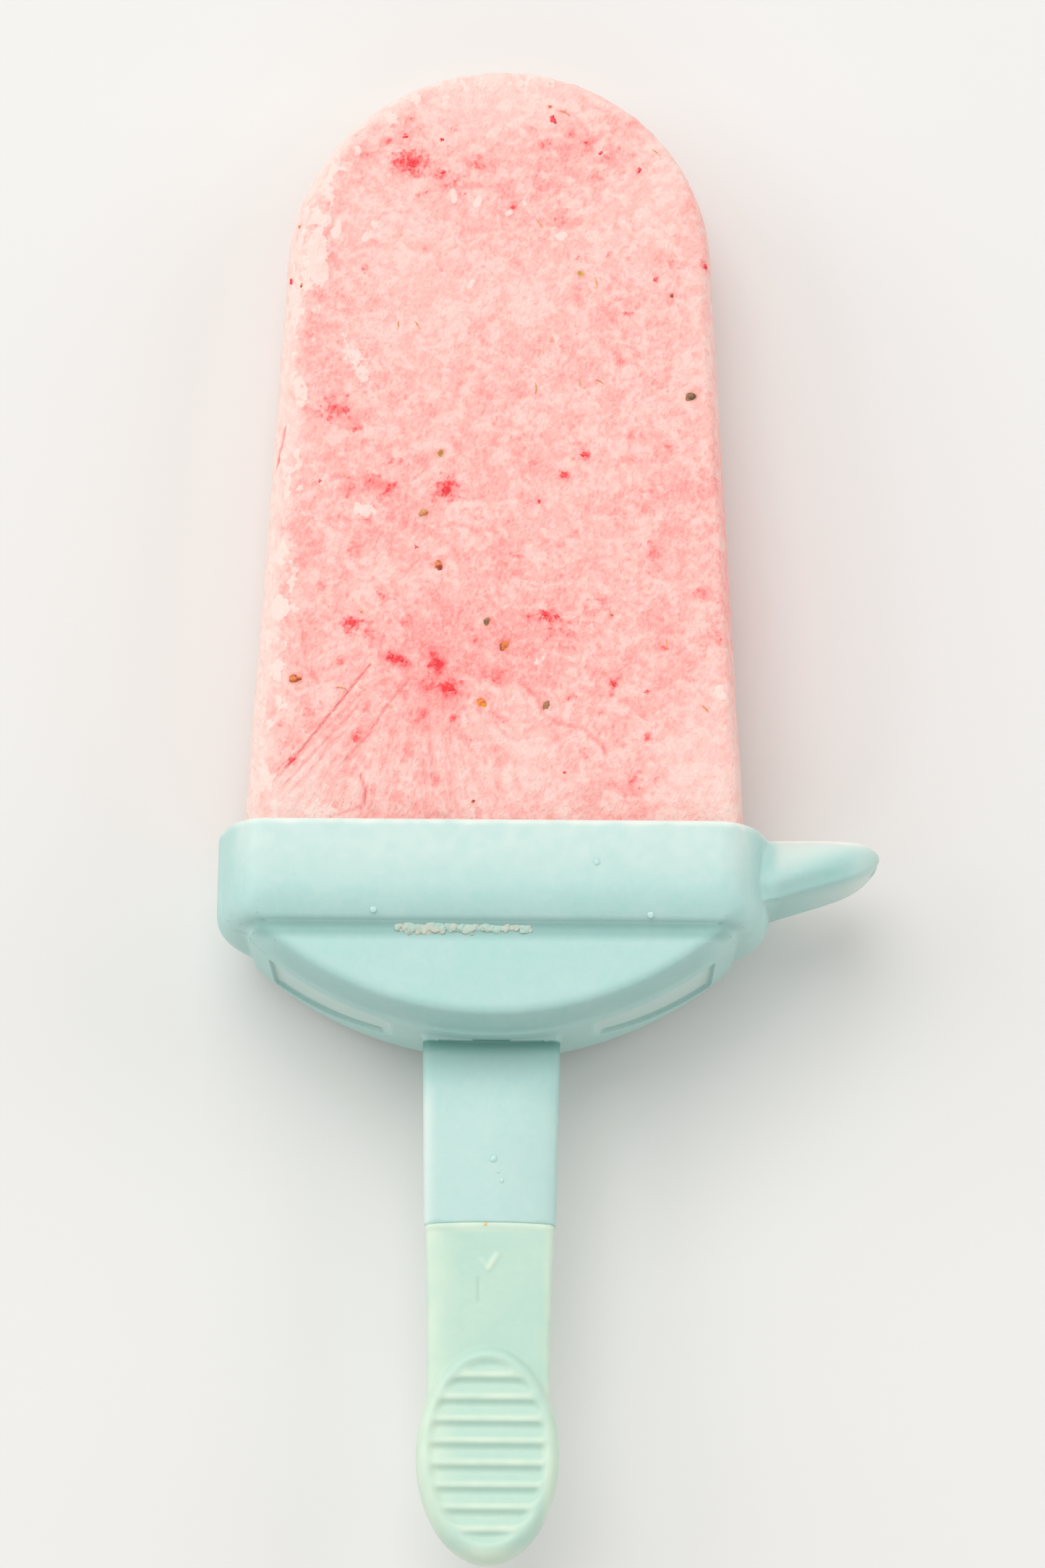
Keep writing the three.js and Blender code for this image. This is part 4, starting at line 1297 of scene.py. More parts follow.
@dataclass
class FruitBits:
    """Seeds, fibres and red pulp that show in the front face of the ice."""

    ice: FrozenBody
    seed_size: tuple = (2.0, 1.45, 0.8)
    seed_sink: float = 0.15
    kernel_growth: float = 1.1
    fibre_width: float = 0.16
    kernel_flatness: float = 0.45

    def lump(self, bm: bmesh.types.BMesh, size: Sequence[float], unevenness: float, number: int) -> list:
        """Adds the numbered uneven ball at the origin and gives its vertices."""
        return uneven_ball(bm, size, unevenness, waves=3.1, start=3.7 * number)

    def put(self, bm: bmesh.types.BMesh, verts: list, x: float, y: float, turn: float, rise: float) -> None:
        """Turns vertices in the plane of the face and sets them on it.

        Args:
            bm: mesh that holds the vertices.
            verts: vertices to move.
            x: place across.
            y: place along.
            turn: degrees of turn.
            rise: height of the middle above the face.
        """
        spin = Matrix.Rotation(math.radians(turn), 3, "Z")
        bmesh.ops.rotate(bm, verts=verts, matrix=spin, cent=(0, 0, 0))
        bmesh.ops.translate(bm, verts=verts, vec=(x, y, self.ice.face(x, y) + rise))

    def seeds(self, patterns: Patterns) -> None:
        """Makes one piece for each kind of seed: pointed, uneven and half sunk in.

        Args:
            patterns: the shared node groups.
        """
        for kind, places in SEEDS.items():
            bm = bmesh.new()
            for number, (x, y, turn, scale) in enumerate(places):
                made = self.lump(bm, [scale * side for side in self.seed_size], 0.35, number)
                for vert in made:
                    vert.co.y *= 1 - 0.45 * max(vert.co.x, 0) / scale
                self.put(bm, made, x, y, turn, -self.seed_sink)
            name = f"seeds_{kind.name.lower()}"
            dark, light = (rgb(*tone) for tone in kind.value)
            coat = SpeckledCoat(name.replace("_", " "), dark, light, size=1.0, roughness=0.45)
            lay_down(solid_object(name, bm), coat.material(patterns))

    def kernels(self, patterns: Patterns) -> None:
        """Makes the hearts of the red smears as one piece.

        Args:
            patterns: the shared node groups.
        """
        bm = bmesh.new()
        for number, (x, y, core) in enumerate(KERNELS):
            radius = self.kernel_growth * core
            size = (2 * radius, 1.7 * radius, 2 * radius * self.kernel_flatness)
            made = self.lump(bm, size, 0.9, number)
            self.put(bm, made, x, y, 47 * number, -0.6 * radius * self.kernel_flatness)
        coat = SpeckledCoat("red pulp", rgb(238, 30, 44), rgb(246, 84, 88), size=0.45, roughness=0.35)
        lay_down(solid_object("pulp_kernels", bm), coat.material(patterns))

    def fibres(self, patterns: Patterns) -> None:
        """Makes the bent fibres as one piece.

        Args:
            patterns: the shared node groups.
        """
        bm = bmesh.new()
        for number, (x, y, turn, length) in enumerate(FIBRES):
            made = self.lump(bm, (length, self.fibre_width, self.fibre_width), 0.2, number)
            for vert in made:
                vert.co.y += 0.3 * vert.co.x**2 / length - 0.04 * length
            self.put(bm, made, x, y, turn, 0.0)
        coat = SpeckledCoat("fruit fibre", rgb(222, 132, 56), rgb(240, 176, 110), size=0.8)
        lay_down(solid_object("fruit_fibres", bm), coat.material(patterns))

    def build(self, patterns: Patterns) -> None:
        """Makes every kind of bit.

        Args:
            patterns: the shared node groups.
        """
        self.seeds(patterns)
        self.kernels(patterns)
        self.fibres(patterns)


# ---- the drip guard --------------------------------------------------------------------


def slab_ring(y: float, half_width: float, half_depth: float, end_reach: float,
              squareness: float, steps: int) -> list[Vector]:
    """Ring in the plane y: a slab's section with flat faces and superelliptic ends.

    Args:
        y: height of the ring.
        half_width: half width across the ends.
        half_depth: half depth between the faces.
        end_reach: how far each rounded end reaches along the width.
        squareness: squareness of the ends.
        steps: steps round each end.

    Returns:
        The ring's points.
    """
    ring = []
    for side in (1, -1):
        for step in range(steps + 1):
            angle = side * (math.pi * step / steps - math.pi / 2)
            bulge = end_reach * softened(abs(math.cos(angle)), squareness)
            x = side * (half_width - end_reach + bulge)
            ring.append(Vector((x, y, half_depth * softened(math.sin(angle), squareness))))
    return ring


@dataclass
class DripGuard:
    """The tray round the foot of the ice, the web under it, the sip spout and the stick."""

    half_width: float = 35.4
    half_depth: float = 13.5
    height: float = 13.6
    end_reach: float = 6.6
    squareness: float = 1.9
    wall: float = 1.6
    side_corner: float = 3.2
    face_corner: float = 2.4
    face_roll: float = 5.2
    crown: float = 0.35
    crown_reach: float = 7.0
    rim_rounding: float = 0.6
    web_half_width: float = 31.0
    web_shoulder: float = -14.4
    web_bottom: float = -26.4
    web_root: float = -10.4
    web_half_depth: float = 11.6
    web_back_edge: float = 1.7
    web_front_level: float = 6.0
    web_front_inset: float = 2.5
    ledge: float = 0.22
    ledge_level: float = 6.1
    panel_inner: float = 13.0
    panel_outer: float = 28.2
    panel_front: float = 4.6
    panel_back: tuple = (-4.5, -9.3)
    panel_corner: float = 1.8
    panel_sink: float = 0.6
    # Width of the painted shade along a panel's border.
    border_shade_width: float = 0.7
    spout_root: float = 33.2
    spout_tip: float = 49.9
    spout_top: float = 0.3
    spout_top_drop: float = 2.1
    spout_top_power: int = 9
    spout_bottom: float = -9.1
    spout_bottom_rise: float = 3.9
    spout_nose_rise: float = 3.0
    spout_nose_power: int = 8
    spout_half_depth: float = 7.6
    spout_nose_half_depth: float = 1.4
    spout_crease_root: float = 0.02
    spout_crease_nose: float = 0.22
    spout_back_squareness: float = 2.1
    spout_belly_squareness: float = 2.8
    spout_dent: float = 0.12
    spout_dent_width: float = 1.5
    bore_radius: float = 1.6
    bore_height: float = -2.6
    stick_root: float = -20.0
    stick_half_width: float = 8.75
    stick_half_width_at_joint: float = 8.35
    stick_half_depth: float = 2.4
    stick_squareness: float = 4.5
    joint: float = -49.75
    joint_arch: float = 0.3
    joint_arch_reach: tuple = (0.5, 2.5)
    gap: float = 0.3
    cell: float = 0.3
    most_triangles: int = 180_000
    loops: tuple = (
        -12.3, -13.2, -14.4, -15.0, -15.6, -26.8, -27.6, -28.5, -29.5, -30.6, -31.8, -33.0, -34.5, -36.0,
    )
    steps: int = 24
    corner_steps: int = 10
    rim_steps: int = 4
    web_steps: int = 36
    panel_steps: int = 32
    spout_steps: int = 20

    def tray_ring(self, y: float, wall: float = 0, side: float = 0, face: float = 0) -> list[Vector]:
        """Ring of the tray's outside, or of its inside with the wall's thickness.

        Args:
            y: height of the ring.
            wall: thickness by which it is drawn in.
            side: more of the same at the two ends.
            face: more of the same at the two faces.

        Returns:
            Points round the ring.
        """
        return slab_ring(
            y, self.half_width - wall - side, self.half_depth - wall - face,
            self.end_reach - wall - face, self.squareness, self.steps)

    def tray_rings(self, top: float, floor: float, wall: float) -> list[list[Vector]]:
        """Rings from the top of a straight wall down round the lower corners to a floor.

        Args:
            top: height of the first ring.
            floor: height of the floor.
            wall: thickness by which the rings are drawn in.

        Returns:
            The rings, downwards.
        """
        side, face, roll = (reach - wall for reach in (self.side_corner, self.face_corner, self.face_roll))
        rings = [self.tray_ring(top, wall), self.tray_ring(floor + roll, wall)]
        for step in range(1, self.corner_steps + 1):
            rise = roll * (1 - math.sin(math.pi / 2 * step / self.corner_steps))
            side_inset = side - math.sqrt(side**2 - max(0.0, side - rise) ** 2)
            face_inset = face * (1 - math.sqrt(1 - (1 - rise / roll) ** 2))
            rings.append(self.tray_ring(floor + rise, wall, side_inset, face_inset))
        return rings

    def tray(self) -> bpy.types.Object:
        """The tray's outer form, its rim rounded.

        Returns:
            The solid form, its inside not yet taken away.
        """
        rim = []
        for step in range(self.rim_steps):
            angle = math.pi / 2 * step / self.rim_steps
            inset = self.rim_rounding * (1 - math.sin(angle))
            drop = self.rim_rounding * (1 - math.cos(angle))
            rim.append(self.tray_ring(-drop, 0, inset, inset))
        walls = self.tray_rings(-self.rim_rounding, -self.height, 0)
        return solid_object("drip_guard", loft([*rim, *walls]))

    def cavity(self) -> bpy.types.Object:
        """What the tray's inside takes away."""
        above = 5.0
        return solid_object("cavity", loft(self.tray_rings(above, self.wall - self.height, self.wall)))

    def web_radius(self) -> float:
        """Radius of the web's curved wall."""
        drop = self.web_shoulder - self.web_bottom
        return (self.web_half_width**2 + drop**2) / (2 * drop)

    def web_ring(self, z: float, inset: float) -> list[Vector]:
        """Ring of the D-shaped web in the plane z, drawn in by so much.

        Args:
            z: height of the plane.
            inset: millimetres by which the ring is drawn in.

        Returns:
            Points round the ring.
        """
        middle = self.web_bottom + self.web_radius()
        radius, half_width = self.web_radius() - inset, self.web_half_width - inset
        half = math.asin(half_width / radius)
        steps = self.web_steps
        turns = (half * step / steps for step in range(-steps, steps + 1))
        arc = [Vector((radius * math.sin(turn), middle - radius * math.cos(turn), z)) for turn in turns]
        return [Vector((-half_width, self.web_root, z)), *arc, Vector((half_width, self.web_root, z))]

    def web(self) -> bpy.types.Object:
        """The D-shaped web: a round edge at the back, a long roll-off at the front.

        Returns:
            The solid web.
        """
        turns = [math.pi / 2 * step / self.corner_steps for step in range(self.corner_steps + 1)]
        back = [self.web_ring(self.web_back_edge * (1 - math.cos(turn)) - self.web_half_depth,
                              self.web_back_edge * (1 - math.sin(turn))) for turn in turns]
        rise = self.web_half_depth - self.web_front_level
        front = [self.web_ring(self.web_front_level + rise * math.sin(turn),
                               self.web_front_inset * (1 - math.cos(turn))) for turn in turns]
        return solid_object("web", loft([*back, *front]))

    def panel(self, side: int) -> bpy.types.Object:
        """The panel that is sunk into the web's curved wall on one side.

        Args:
            side: 1 for the spout's side, -1 for the other.

        Returns:
            What the panel takes away.
        """
        radius = self.web_radius()
        middle, outside = self.web_bottom + radius, radius + 1
        rings = []
        for step in range(self.panel_steps + 1):
            share = (step / self.panel_steps) ** 1.5
            x = self.panel_inner + share * (self.panel_outer - self.panel_inner)
            turn = side * math.asin(x / radius)
            short = max(0.0, 1 - (x - self.panel_inner) / self.panel_corner)
            narrow = self.panel_corner * (1 - math.sqrt(1 - short**2))
            back = self.panel_back[0] + share * (self.panel_back[1] - self.panel_back[0]) + narrow
            front = self.panel_front - narrow
            rings.append([
                Vector((reach * math.sin(turn), middle - reach * math.cos(turn), z))
                for reach, z in ((radius - self.panel_sink, back), (outside, back),
                                 (outside, front), (radius - self.panel_sink, front))])
        return solid_object("panel", loft(rings))

    def on_panel(self, x: np.ndarray, z: np.ndarray) -> np.ndarray:
        """Which points lie between the ends and edges of a sunk panel.

        Args:
            x: distances from the middle.
            z: heights.

        Returns:
            True for the points on the panel.
        """
        share = (x - self.panel_inner) / (self.panel_outer - self.panel_inner)
        back = self.panel_back[0] + share * (self.panel_back[1] - self.panel_back[0])
        return (share > 0) & (share < 1) & (z < self.panel_front) & (z > back)

    def radial(self, x: np.ndarray, y: np.ndarray) -> np.ndarray:
        """How far points lie outside the web's curved wall."""
        return np.hypot(x, y - self.web_bottom - self.web_radius()) - self.web_radius()

    def on_spout(self, x: np.ndarray) -> np.ndarray:
        """Share that is 0 on the tray and 1 on the spout."""
        return smooth_share(x, self.half_width, self.half_width + 1.5)

    def above_crease(self, x: np.ndarray, y: np.ndarray) -> np.ndarray:
        """How far points lie above the spout's crease."""
        return y - self.crease(np.clip((x - self.half_width) / (self.spout_tip - self.half_width), 0, 1))

    def spout_edges(self, share: np.ndarray, along: np.ndarray) -> tuple:
        """Heights of the spout's upper and lower edge.

        Args:
            share: share of the spout's length, below 0 inside the tray.
            along: the same share, but not below 0.

        Returns:
            The upper and the lower edge's height.
        """
        top = self.spout_top - self.spout_top_drop * along**self.spout_top_power
        nose = self.spout_nose_rise * along**self.spout_nose_power
        bottom = self.spout_bottom + self.spout_bottom_rise * share + nose
        return top, bottom

    def crease(self, share: np.ndarray) -> np.ndarray:
        """Height of the spout's crease at a share of its length.

        Args:
            share: shares of the length, from the tray outwards.

        Returns:
            Heights along Y.
        """
        top, bottom = self.spout_edges(share, share)
        level = self.spout_crease_root + share * (self.spout_crease_nose - self.spout_crease_root)
        return bottom + level * (top - bottom)

    def spout_ring(self, share: float) -> list[Vector]:
        """Ring of the spout: a rounded back over a creased, flatter belly.

        Args:
            share: share of the spout's length at which the ring stands.

        Returns:
            The ring's points.
        """
        x = self.half_width + share * (self.spout_tip - self.half_width)
        along = max(share, 0.0)
        top, bottom = self.spout_edges(share, along)
        full = math.sqrt(max(0.0, 1 - along**3))
        half_depth = max(self.spout_half_depth * full, self.spout_nose_half_depth)
        crease = self.crease(along)
        dent = self.spout_dent * (1 - along**3)
        ring = []
        for step in range(4 * self.steps):
            angle = math.pi * step / (2 * self.steps)
            rise = math.sin(angle)
            reach = top - crease if rise > 0 else crease - bottom
            squareness = self.spout_back_squareness if rise > 0 else self.spout_belly_squareness
            down = reach * softened(rise, squareness)
            valley = 1 - dent * math.exp(-((down / self.spout_dent_width) ** 2))
            ring.append(Vector((
                x, crease + down, valley * half_depth * softened(math.cos(angle), squareness))))
        return ring

    def spout(self) -> bpy.types.Object:
        """The sip spout, a flat beak.

        Returns:
            The spout, its bore not yet taken away.
        """
        root = (self.spout_root - self.half_width) / (self.spout_tip - self.half_width)
        steps = self.spout_steps
        shares = [root, *(1 - (1 - step / steps) ** 1.6 for step in range(steps + 1))]
        return solid_object("spout", loft([self.spout_ring(share) for share in shares]))

    def bore(self) -> bpy.types.Object:
        """What the way from the tray to the spout's mouth takes away.

        Returns:
            The form to take away.
        """
        start = self.spout_root - self.wall
        length = self.spout_tip + self.wall - start
        bm = bmesh.new()
        bmesh.ops.create_cone(
            bm, cap_ends=True, segments=self.steps, radius1=self.bore_radius, radius2=self.bore_radius,
            depth=length, matrix=Matrix.Translation((start + length / 2, self.bore_height, 0))
            @ Matrix.Rotation(math.pi / 2, 4, "Y"))
        return solid_object("bore", bm)

    def stick(self) -> bpy.types.Object:
        """The flat stick down to the joint.

        Returns:
            The solid stick.
        """
        ends = ((self.stick_root, self.stick_half_width), (self.web_bottom, self.stick_half_width),
                (self.joint, self.stick_half_width_at_joint))
        rings = [slab_ring(y, width, self.stick_half_depth, self.stick_half_depth,
                           self.stick_squareness, self.steps) for y, width in ends]
        return solid_object("stick", loft(rings))

    def joint_drop(self, x: np.ndarray, y: np.ndarray) -> np.ndarray:
        """How far points near the joint lie lower than its middle.

        Args:
            x: places across the stick.
            y: places along it.

        Returns:
            The drop of each point.
        """
        near, far = self.joint_arch_reach
        share = np.clip(np.abs(x) / self.stick_half_width_at_joint, 0, 1)
        return self.joint_arch * share**2 * smooth_share(np.abs(y - self.joint), far, near)

    def mould(self, piece: bpy.types.Object) -> None:
        """Gives the bare guard its crowned front, its parting ledge and its arched joint.

        Args:
            piece: the bare guard.
        """
        points, normals = points_of(piece), normals_of(piece)
        x, y, z = points.T
        outside = x * normals[:, 0] + (y + 5) * normals[:, 1] > 0
        off_spout = x < self.half_width + 0.8
        ledge = self.ledge * smooth_share(z, self.ledge_level - 0.15, self.ledge_level + 0.15)
        ledge *= outside * off_spout * smooth_share(np.abs(normals[:, 2]), 0.9, 0.5)
        ledge *= (normals[:, 1] < 0.5) * (y > self.web_bottom - 0.5)
        points[:, :2] -= normals[:, :2] * ledge[:, None]
        crown = np.clip((y + self.crown_reach) / self.crown_reach, 0, 1) ** 2
        points[:, 2] -= self.crown * crown * smooth_share(z, 9.0, 11.5) * off_spout
        points[:, 1] -= self.joint_drop(x, y)
        move_points(piece, points)

    def worn(self, points: np.ndarray) -> np.ndarray:
        """Where the plastic is paler: wear, damp haze and cream left by the ice, with painted highlight,
        sheen and bounce light.

        Args:
            points: rows of x, y and z.

        Returns:
            The share of the pale tone at each point.
        """
        x, y, z = points.T
        ragged = 0.35 * rough_field(points, 1.6, 4.0)
        # The rim: painted highlight on its rounding, with cream melt residue.
        rim = smooth_share(y + 0.8 * ragged, -1.1, -0.2)
        # The upper tray front: painted sheen of the lamp, with a whitish haze.
        haze_and_sheen = smooth_share(y, -11.0, -3.0) * smooth_share(z, 9.0, 12.0) * (0.26 + 0.3 * ragged)
        # The nose: cream left by the ice.
        nose = 0.35 * smooth_share(x + 2 * ragged, 44.0, 49.0)
        above = self.above_crease(x, y)
        # The spout's back gets a painted highlight, its belly painted bounce light from the floor.
        back, belly = smooth_share(above, 1.5, 5.5), smooth_share(above, -0.5, -1.4)
        pale = self.on_spout(x) * np.minimum(0.6, nose + 0.45 * back + 0.5 * belly)
        # The stick lighter further down, and its left edge a painted highlight.
        stick = (y < self.web_bottom) * smooth_share(y, -30.0, -36.0)
        pale += stick * (0.14 + 0.35 * smooth_share(x, -6.6, -8.4))
        # The floors of the sunk panels paler.
        floor = np.abs(self.radial(x, y) + self.panel_sink) < 0.25
        pale = np.maximum(pale, 0.25 * self.on_panel(np.abs(x), z) * floor)
        return np.clip(0.45 * rim + pale + haze_and_sheen, 0, 1)

    def shaded(self, points: np.ndarray) -> np.ndarray:
        """Where the plastic gets painted shade: along the panels' borders, on the web's roll-off, in the
        spout's valley and the tray's fold, on the stick's right side, and a painted shadow under the web's
        edge.

        Args:
            points: rows of x, y and z.

        Returns:
            The share of the painted shade at each point.
        """
        x, y, z = points.T
        radial, above = self.radial(x, y), self.above_crease(x, y)
        (inner, outer), (high, low) = (self.panel_inner, self.panel_outer), self.panel_back
        # Painted shade along the border of each sunk panel.
        border = Line(((inner + 1.5, high), (outer, low), (outer, self.panel_front)))
        seam = 0.5 * smooth_share(border.distance(np.abs(x), z), self.border_shade_width, 0.1)
        seam *= np.abs(radial + 0.5) < 0.48
        # Painted shade on the web's front roll-off.
        roll = 0.22 * smooth_share(radial, -3.4, -0.8) * smooth_share(z, 6, 8)
        roll *= smooth_share(np.abs(x), 30, 25) * (y < -14)
        # Painted shadow of the web on the stick below it.
        root = (y < self.web_bottom) * (z > 0) * np.maximum(
            1.0 * smooth_share(y, -29.5, -26.5), 0.5 * smooth_share(y, -33.0, -26.5))
        # Painted shade in the spout's valley.
        valley = 0.22 * self.on_spout(x) * smooth_share(above, -0.9, 0.1) * smooth_share(above, 4.8, 0.3)
        # Painted shade in the fold between tray and web.
        fold = 0.5 - 0.18 * smooth_share(np.abs(x), 24, 32)
        fold *= smooth_share(np.abs(y + self.height + 0.3), 1.7, 0.5) * smooth_share(z, 8.0, 11.0)
        # Painted shade on the stick's right side.
        side = 0.14 * (y < self.web_bottom) * smooth_share(x, 2.0, 8.0)
        return np.maximum.reduce([seam, roll, root, valley, fold, side])

    def dress(self, piece: bpy.types.Object) -> None:
        """Paints the layers that the plastic's material reads.

        Args:
            piece: the moulded guard.
        """
        points = points_of(piece)
        # Pale wear with painted highlight, then painted shade.
        paint(piece, "worn", self.worn(points))
        paint(piece, "seam", self.shaded(points))

    def build(self, patterns: Patterns) -> bpy.types.Object:
        """Makes the finished guard.

        Args:
            patterns: the shared node groups.

        Returns:
            The guard.
        """
        piece = self.tray()
        for part in (self.web, self.spout, self.stick):
            carve(piece, part(), Carving.JOIN)
        for side in (1, -1):
            carve(piece, self.panel(side), Carving.CUT)
        for part in (self.cavity, self.bore):
            carve(piece, part(), Carving.CUT)
        even_skin(piece, self.cell, 2)
        thin_out(piece, self.most_triangles)
        cut_loops(piece, self.loops)
        self.mould(piece)
        self.dress(piece)
        # Base, pale tint, and the tone of the painted shade.
        plastic = SatinPlastic("guard plastic", rgb(170, 211, 205), rgb(240, 240, 232), rgb(96, 152, 144))
        lay_down(piece, plastic.material(patterns))
        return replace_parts(piece, "guard")


# ---- the grip --------------------------------------------------------------------------


@dataclass
class ThumbGrip:
    """The lower stick of a second colour and its oval ribbed pad."""

    guard: DripGuard
    half_width_at_joint: float = 8.1
    half_width_at_pad: float = 7.7
    joint_overlap: float = 0.15
    lip_height: float = 0.11
    lip_width: float = 1.0
    pad_centre: float = -78.6
    pad_half_width: float = 8.95
    pad_half_length: float = 13.5
    pad_half_depth: float = 3.7
    pad_edge: float = 1.5
    pad_toe_edge: float = 2.6
    pad_squareness: float = 2.4
    dish_centre: float = -78.3
    dish_half_width: float = 7.45
    dish_half_length: float = 11.6
    rib_count: int = 9
    rib_pitch: float = 2.71
    first_valley: float = -67.2
    steep: float = 0.36
    crest_sink: float = 0.12
    valley_sink: float = 0.62
    tick: tuple = (
        Line(((-1.0, -54.4), (-0.2, -55.4)), 0.4, 0.06, 0.1),
        Line(((-0.1, -55.4), (0.9, -53.9)), 0.6, 0.16, 0.35),
    )
    dent: Line = Line(((-1.39, -56.8), (-1.36, -59.6)), 0.35, 0.08, 0.0)
    cell: float = 0.22
    steps: int = 24

    def shaft(self) -> bpy.types.Object:
        """The lower stick, with a slightly proud lip at the joint.

        Returns:
            The solid shaft.
        """
        top = self.guard.joint + self.joint_overlap
        pad_top = self.pad_centre + self.pad_half_length

        def ring(y: float, swell: float) -> list[Vector]:
            """Ring of the shaft, swollen by the lip."""
            share = min(1.0, (y - top) / (pad_top - top))
            width = self.half_width_at_joint + share * (self.half_width_at_pad - self.half_width_at_joint)
            depth = self.guard.stick_half_depth
            return slab_ring(y, width + swell, depth + swell, depth,
                             self.guard.stick_squareness, self.steps)

        lip = [(0, 0.3), (0.15, 0.8), (0.3, 1), (0.5, 0.95), (0.7, 0.6), (0.85, 0.2), (1, 0)]
        rings = [ring(top - down * self.lip_width, swell * self.lip_height) for down, swell in lip]
        return solid_object("thumb_grip", loft([*rings, ring(pad_top, 0), ring(self.pad_centre, 0)]))

    def pad(self) -> bpy.types.Object:
        """The oval pad, its edge rounded more at the toe than round the rest.

        Returns:
            The solid pad, without its ribs.
        """
        rings = []
        levels, around = 10, 96
        for level in range(-levels, levels + 1):
            angle = math.pi / 2 * level / levels
            drawn = 1 - softened(abs(math.cos(angle)), self.pad_squareness)
            z = self.pad_half_depth * softened(math.sin(angle), self.pad_squareness)
            ring = []
            for step in range(around):
                turn = 2 * math.pi * step / around
                toe = smooth_share(np.array(math.sin(turn)), 0.35, -0.6)
                inset = drawn * (self.pad_edge + float(toe) * (self.pad_toe_edge - self.pad_edge))
                ring.append(Vector((
                    (self.pad_half_width - self.pad_edge * drawn) * math.cos(turn),
                    self.pad_centre + (self.pad_half_length - inset) * math.sin(turn), z)))
            rings.append(ring)
        return solid_object("pad", loft(rings))

    def rib_depth(self, y: np.ndarray) -> np.ndarray:
        """Depth of the ribbed floor: a steep drop below each crest, a slow rise to the next.

        Args:
            y: places along.

        Returns:
            A depth for each place.
        """
        along = (self.first_valley + self.rib_pitch * self.steep - y) / self.rib_pitch
        share = np.where((along > 0) & (along < self.rib_count), along % 1.0, 0.0)
        drop = 0.5 - 0.5 * np.cos(np.pi * np.clip(share / self.steep, 0, 1))
        rise = 0.5 + 0.5 * np.cos(np.pi * np.clip((share - self.steep) / (1 - self.steep), 0, 1))
        depth = np.where(share < self.steep, drop, rise**1.15)
        return self.crest_sink + depth * (self.valley_sink - self.crest_sink)

    def mould(self, piece: bpy.types.Object) -> None:
        """Gives the bare grip its ribs on both sides, its marks and its arched joint; it paints pale wear
        with painted highlight on the lip, edges and crests, and painted shade on the ribs' drops and in the
        dent.

        Args:
            piece: the bare grip.
        """
        points, normals = points_of(piece), normals_of(piece)
        x, y, z = points.T
        oval = np.hypot(x / self.dish_half_width, (y - self.dish_centre) / self.dish_half_length)
        inside = smooth_share(oval, 1.03, 0.88) * smooth_share(np.abs(normals[:, 2]), 0.5, 0.9)
        depth = self.rib_depth(y) * inside
        strokes = [smooth_share(stroke.distance(x, y), stroke.width, 0.1) * (z > 0) for stroke in self.tick]
        dent = smooth_share(self.dent.distance(x, y), self.dent.width, 0) * (z > 0)
        points[:, 2] -= np.sign(z) * depth + self.dent.depth * dent
        raised = [stroke.depth * share for stroke, share in zip(self.tick, strokes)]
        points[:, 2] += np.maximum.reduce(raised)
        points[:, 1] -= self.guard.joint_drop(x, y)
        move_points(piece, points)
        # Lip, sides and rib crests paler: partly cream and yellowed wear, partly painted highlight.
        lip = smooth_share(y, self.guard.joint - 1.4, self.guard.joint - 0.5)
        toe = smooth_share(y, -89.0, -91.5)
        crest = inside * smooth_share(depth, self.crest_sink + 0.12, self.crest_sink)
        ragged = 0.5 * rough_field(points, 2.2, 4.0)
        sides = np.maximum(0.4 * smooth_share(x, -3.0, -8.0), 0.35 * smooth_share(x, 6.4, 7.6))
        worn = np.maximum.reduce([0.4 * lip, sides, 0.5 * toe, 0.45 * crest,
                                  *(stroke.stain * share for stroke, share in zip(self.tick, strokes))])
        paint(piece, "worn", np.clip(worn * (1 + ragged), 0, 1))
        # Painted shade on the steep drops of the ribs and in the dent.
        slope = smooth_share(np.abs(normals_of(piece)[:, 1]), 0.35, 0.8) * inside
        paint(piece, "seam", 0.3 * slope + 0.3 * dent)

    def build(self, patterns: Patterns) -> bpy.types.Object:
        """Makes the finished grip.

        Args:
            patterns: the shared node groups.

        Returns:
            The finished piece.
        """
        piece = self.shaft()
        carve(piece, self.pad(), Carving.JOIN)
        even_skin(piece, self.cell, 2)
        self.mould(piece)
        # Base, yellowish pale tint, and the tone of the painted shade.
        plastic = SatinPlastic("grip plastic", rgb(184, 215, 200), rgb(230, 240, 216),
                               rgb(140, 184, 166), roughness=0.48)
        lay_down(piece, plastic.material(patterns))
        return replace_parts(piece, "grip")


# ---- water and frost on the holder -----------------------------------------------------


